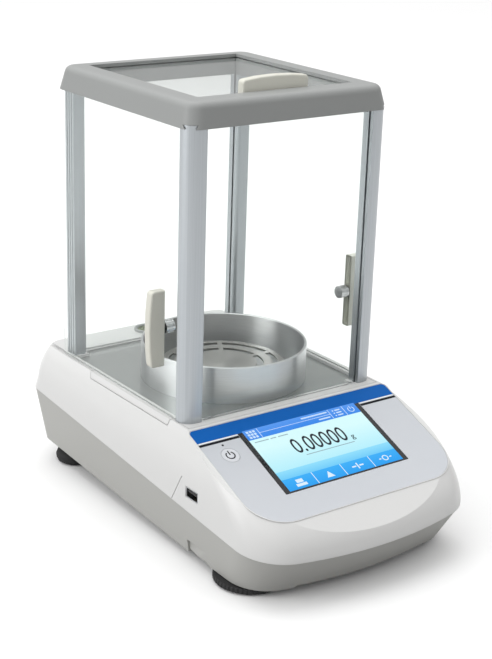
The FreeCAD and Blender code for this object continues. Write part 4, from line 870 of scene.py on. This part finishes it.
# %% [markdown]
# ### Bubble level
# A ring mark on the vial and the bubble in it. The bubble is a flattened drop: a sphere pressed by its
# surface tension and the curve of the glass.
# %% Level marks
vial_low, vial_high = (Vector(corner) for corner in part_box("level_vial"))
vial_centre = (vial_low + vial_high) / 2


def build_level_ring(work):
    def place_point(across, up, out):
        return Vector((vial_centre.x + across * 0.001, vial_centre.y + up * 0.001,
                       vial_high.z + out * 0.001))
    add_plate(work, ring_outline(0, 0, 3.0, 3.4, 0, 359.9), -0.55, -0.2, place_point)


def build_bubble(work):
    shape = Matrix.Translation((vial_centre.x + 0.0003, vial_centre.y, vial_high.z - 0.0021))
    flat = Matrix.Diagonal((1.0, 1.0, 0.45, 1.0))
    bmesh.ops.create_uvsphere(work, u_segments=20, v_segments=12, radius=0.0023, matrix=shape @ flat)


collect("level_ring", build_level_ring, ink_black, "base")
collect("level_bubble", build_bubble, ink_white, "base")

# %% [markdown]
# ## Studio
# A large pale floor, a wide soft light overhead and a broad soft light from the left. Large lights
# give the soft shading of a product picture and long, calm reflections in the metal. White paper would
# throw much light up into the undersides, so for light that bounces off it the paper counts as grey,
# and the undersides keep their shade.
# %% Floor
floor_mesh = bpy.data.meshes.new("floor")
FLOOR_HALF = 60
floor_mesh.from_pydata([(-FLOOR_HALF, -FLOOR_HALF, 0), (FLOOR_HALF, -FLOOR_HALF, 0),
                        (FLOOR_HALF, FLOOR_HALF, 0), (-FLOOR_HALF, FLOOR_HALF, 0)], [], [(0, 1, 2, 3)])
floor = bpy.data.objects.new("floor", floor_mesh)
bpy.context.collection.objects.link(floor)
paper = bpy.data.materials.new("studio_paper")
paper.use_nodes = True
paper_shader = paper.node_tree.nodes["Principled BSDF"]
paper_path = paper.node_tree.nodes.new("ShaderNodeLightPath")
paper_tone = paper.node_tree.nodes.new("ShaderNodeMix")
paper_tone.data_type = "RGBA"
paper_tone.inputs[6].default_value = (0.99, 0.99, 0.99, 1)
paper_tone.inputs[7].default_value = (0.34, 0.34, 0.34, 1)
paper.node_tree.links.new(paper_path.outputs["Is Diffuse Ray"], paper_tone.inputs[0])
paper.node_tree.links.new(paper_tone.outputs[2], paper_shader.inputs["Base Color"])
paper_shader.inputs["Roughness"].default_value = 0.9
paper_shader.inputs["Specular IOR Level"].default_value = 0.1
floor_mesh.materials.append(paper)

# %% Lights


def soft_light(name, place, target, width, height, power):
    data = bpy.data.lights.new(name, "AREA")
    data.shape = "RECTANGLE"
    data.size = width
    data.size_y = height
    data.energy = power
    lamp = bpy.data.objects.new(name, data)
    bpy.context.collection.objects.link(lamp)
    lamp.location = place
    lamp.rotation_euler = (Vector(target) - Vector(place)).to_track_quat("-Z", "Y").to_euler()


soft_light("overhead", (0.1, 0.7, 2.4), (0, 0, 0.1), 2.4, 2.4, 15)
soft_light("left_window", (-2.2, 0.4, 1.1), (0, 0, 0.15), 1.2, 2.0, 17)

# %% [markdown]
# ### The room
# Everything round the balance is the room: bright above, darker at eye level, a little brighter on the
# left and darker in front. Because the floor is lit by the whole of it, the floor is even, and the
# metal still has something darker to mirror.
# %% Room light
ROOM_LEVEL = 0.30
ROOM_ABOVE = 1.0
ROOM_LEFT = 0.25
ROOM_FRONT = -0.22
world = bpy.data.worlds.new("studio")
world.use_nodes = True
tree = world.node_tree
direction = tree.nodes.new("ShaderNodeSeparateXYZ")
tree.links.new(tree.nodes.new("ShaderNodeTexCoord").outputs["Generated"], direction.inputs[0])
height = math_node(tree, "MAXIMUM", direction.outputs["Z"], 0.0)
from_above = math_node(tree, "MULTIPLY_ADD", height, ROOM_ABOVE, ROOM_LEVEL)
leftness = math_node(tree, "MAXIMUM", math_node(tree, "MULTIPLY", direction.outputs["X"], -1.0), 0.0)
with_left = math_node(tree, "MULTIPLY_ADD", leftness, ROOM_LEFT, from_above)
frontness = math_node(tree, "MAXIMUM", math_node(tree, "MULTIPLY", direction.outputs["Y"], -1.0), 0.0)
total = math_node(tree, "MULTIPLY_ADD", frontness, ROOM_FRONT, with_left)
tree.links.new(total, tree.nodes["Background"].inputs["Strength"])
tree.nodes["Background"].inputs["Color"].default_value = (1, 1, 1, 1)
bpy.context.scene.world = world
bpy.context.scene.view_settings.view_transform = "Standard"

# %% [markdown]
# ### The camera
# A long lens a little over a metre away looks down on the front left corner. The three directions are
# the camera's own right, down and forward, which give its turn without any angles.
# %% Camera
camera_data = bpy.data.cameras.new("camera")
camera_data.sensor_fit = "HORIZONTAL"
camera_data.sensor_width = 36.0
camera_data.lens = 105.97
camera_data.shift_x = -0.0094
camera_data.shift_y = 0.0126
camera_data.clip_start = 0.05
camera = bpy.data.objects.new("camera", camera_data)
bpy.context.collection.objects.link(camera)
camera.location = (-0.6439, -0.8721, 0.5280)
right = Vector((0.8097, -0.5859, 0.0315))
down = Vector((-0.1726, -0.2892, -0.9416))
forward = Vector((0.5608, 0.7570, -0.3352))
camera.rotation_euler = Matrix((right, -down, -forward)).transposed().to_euler()
bpy.context.scene.camera = camera
print("camera at", tuple(camera.location))
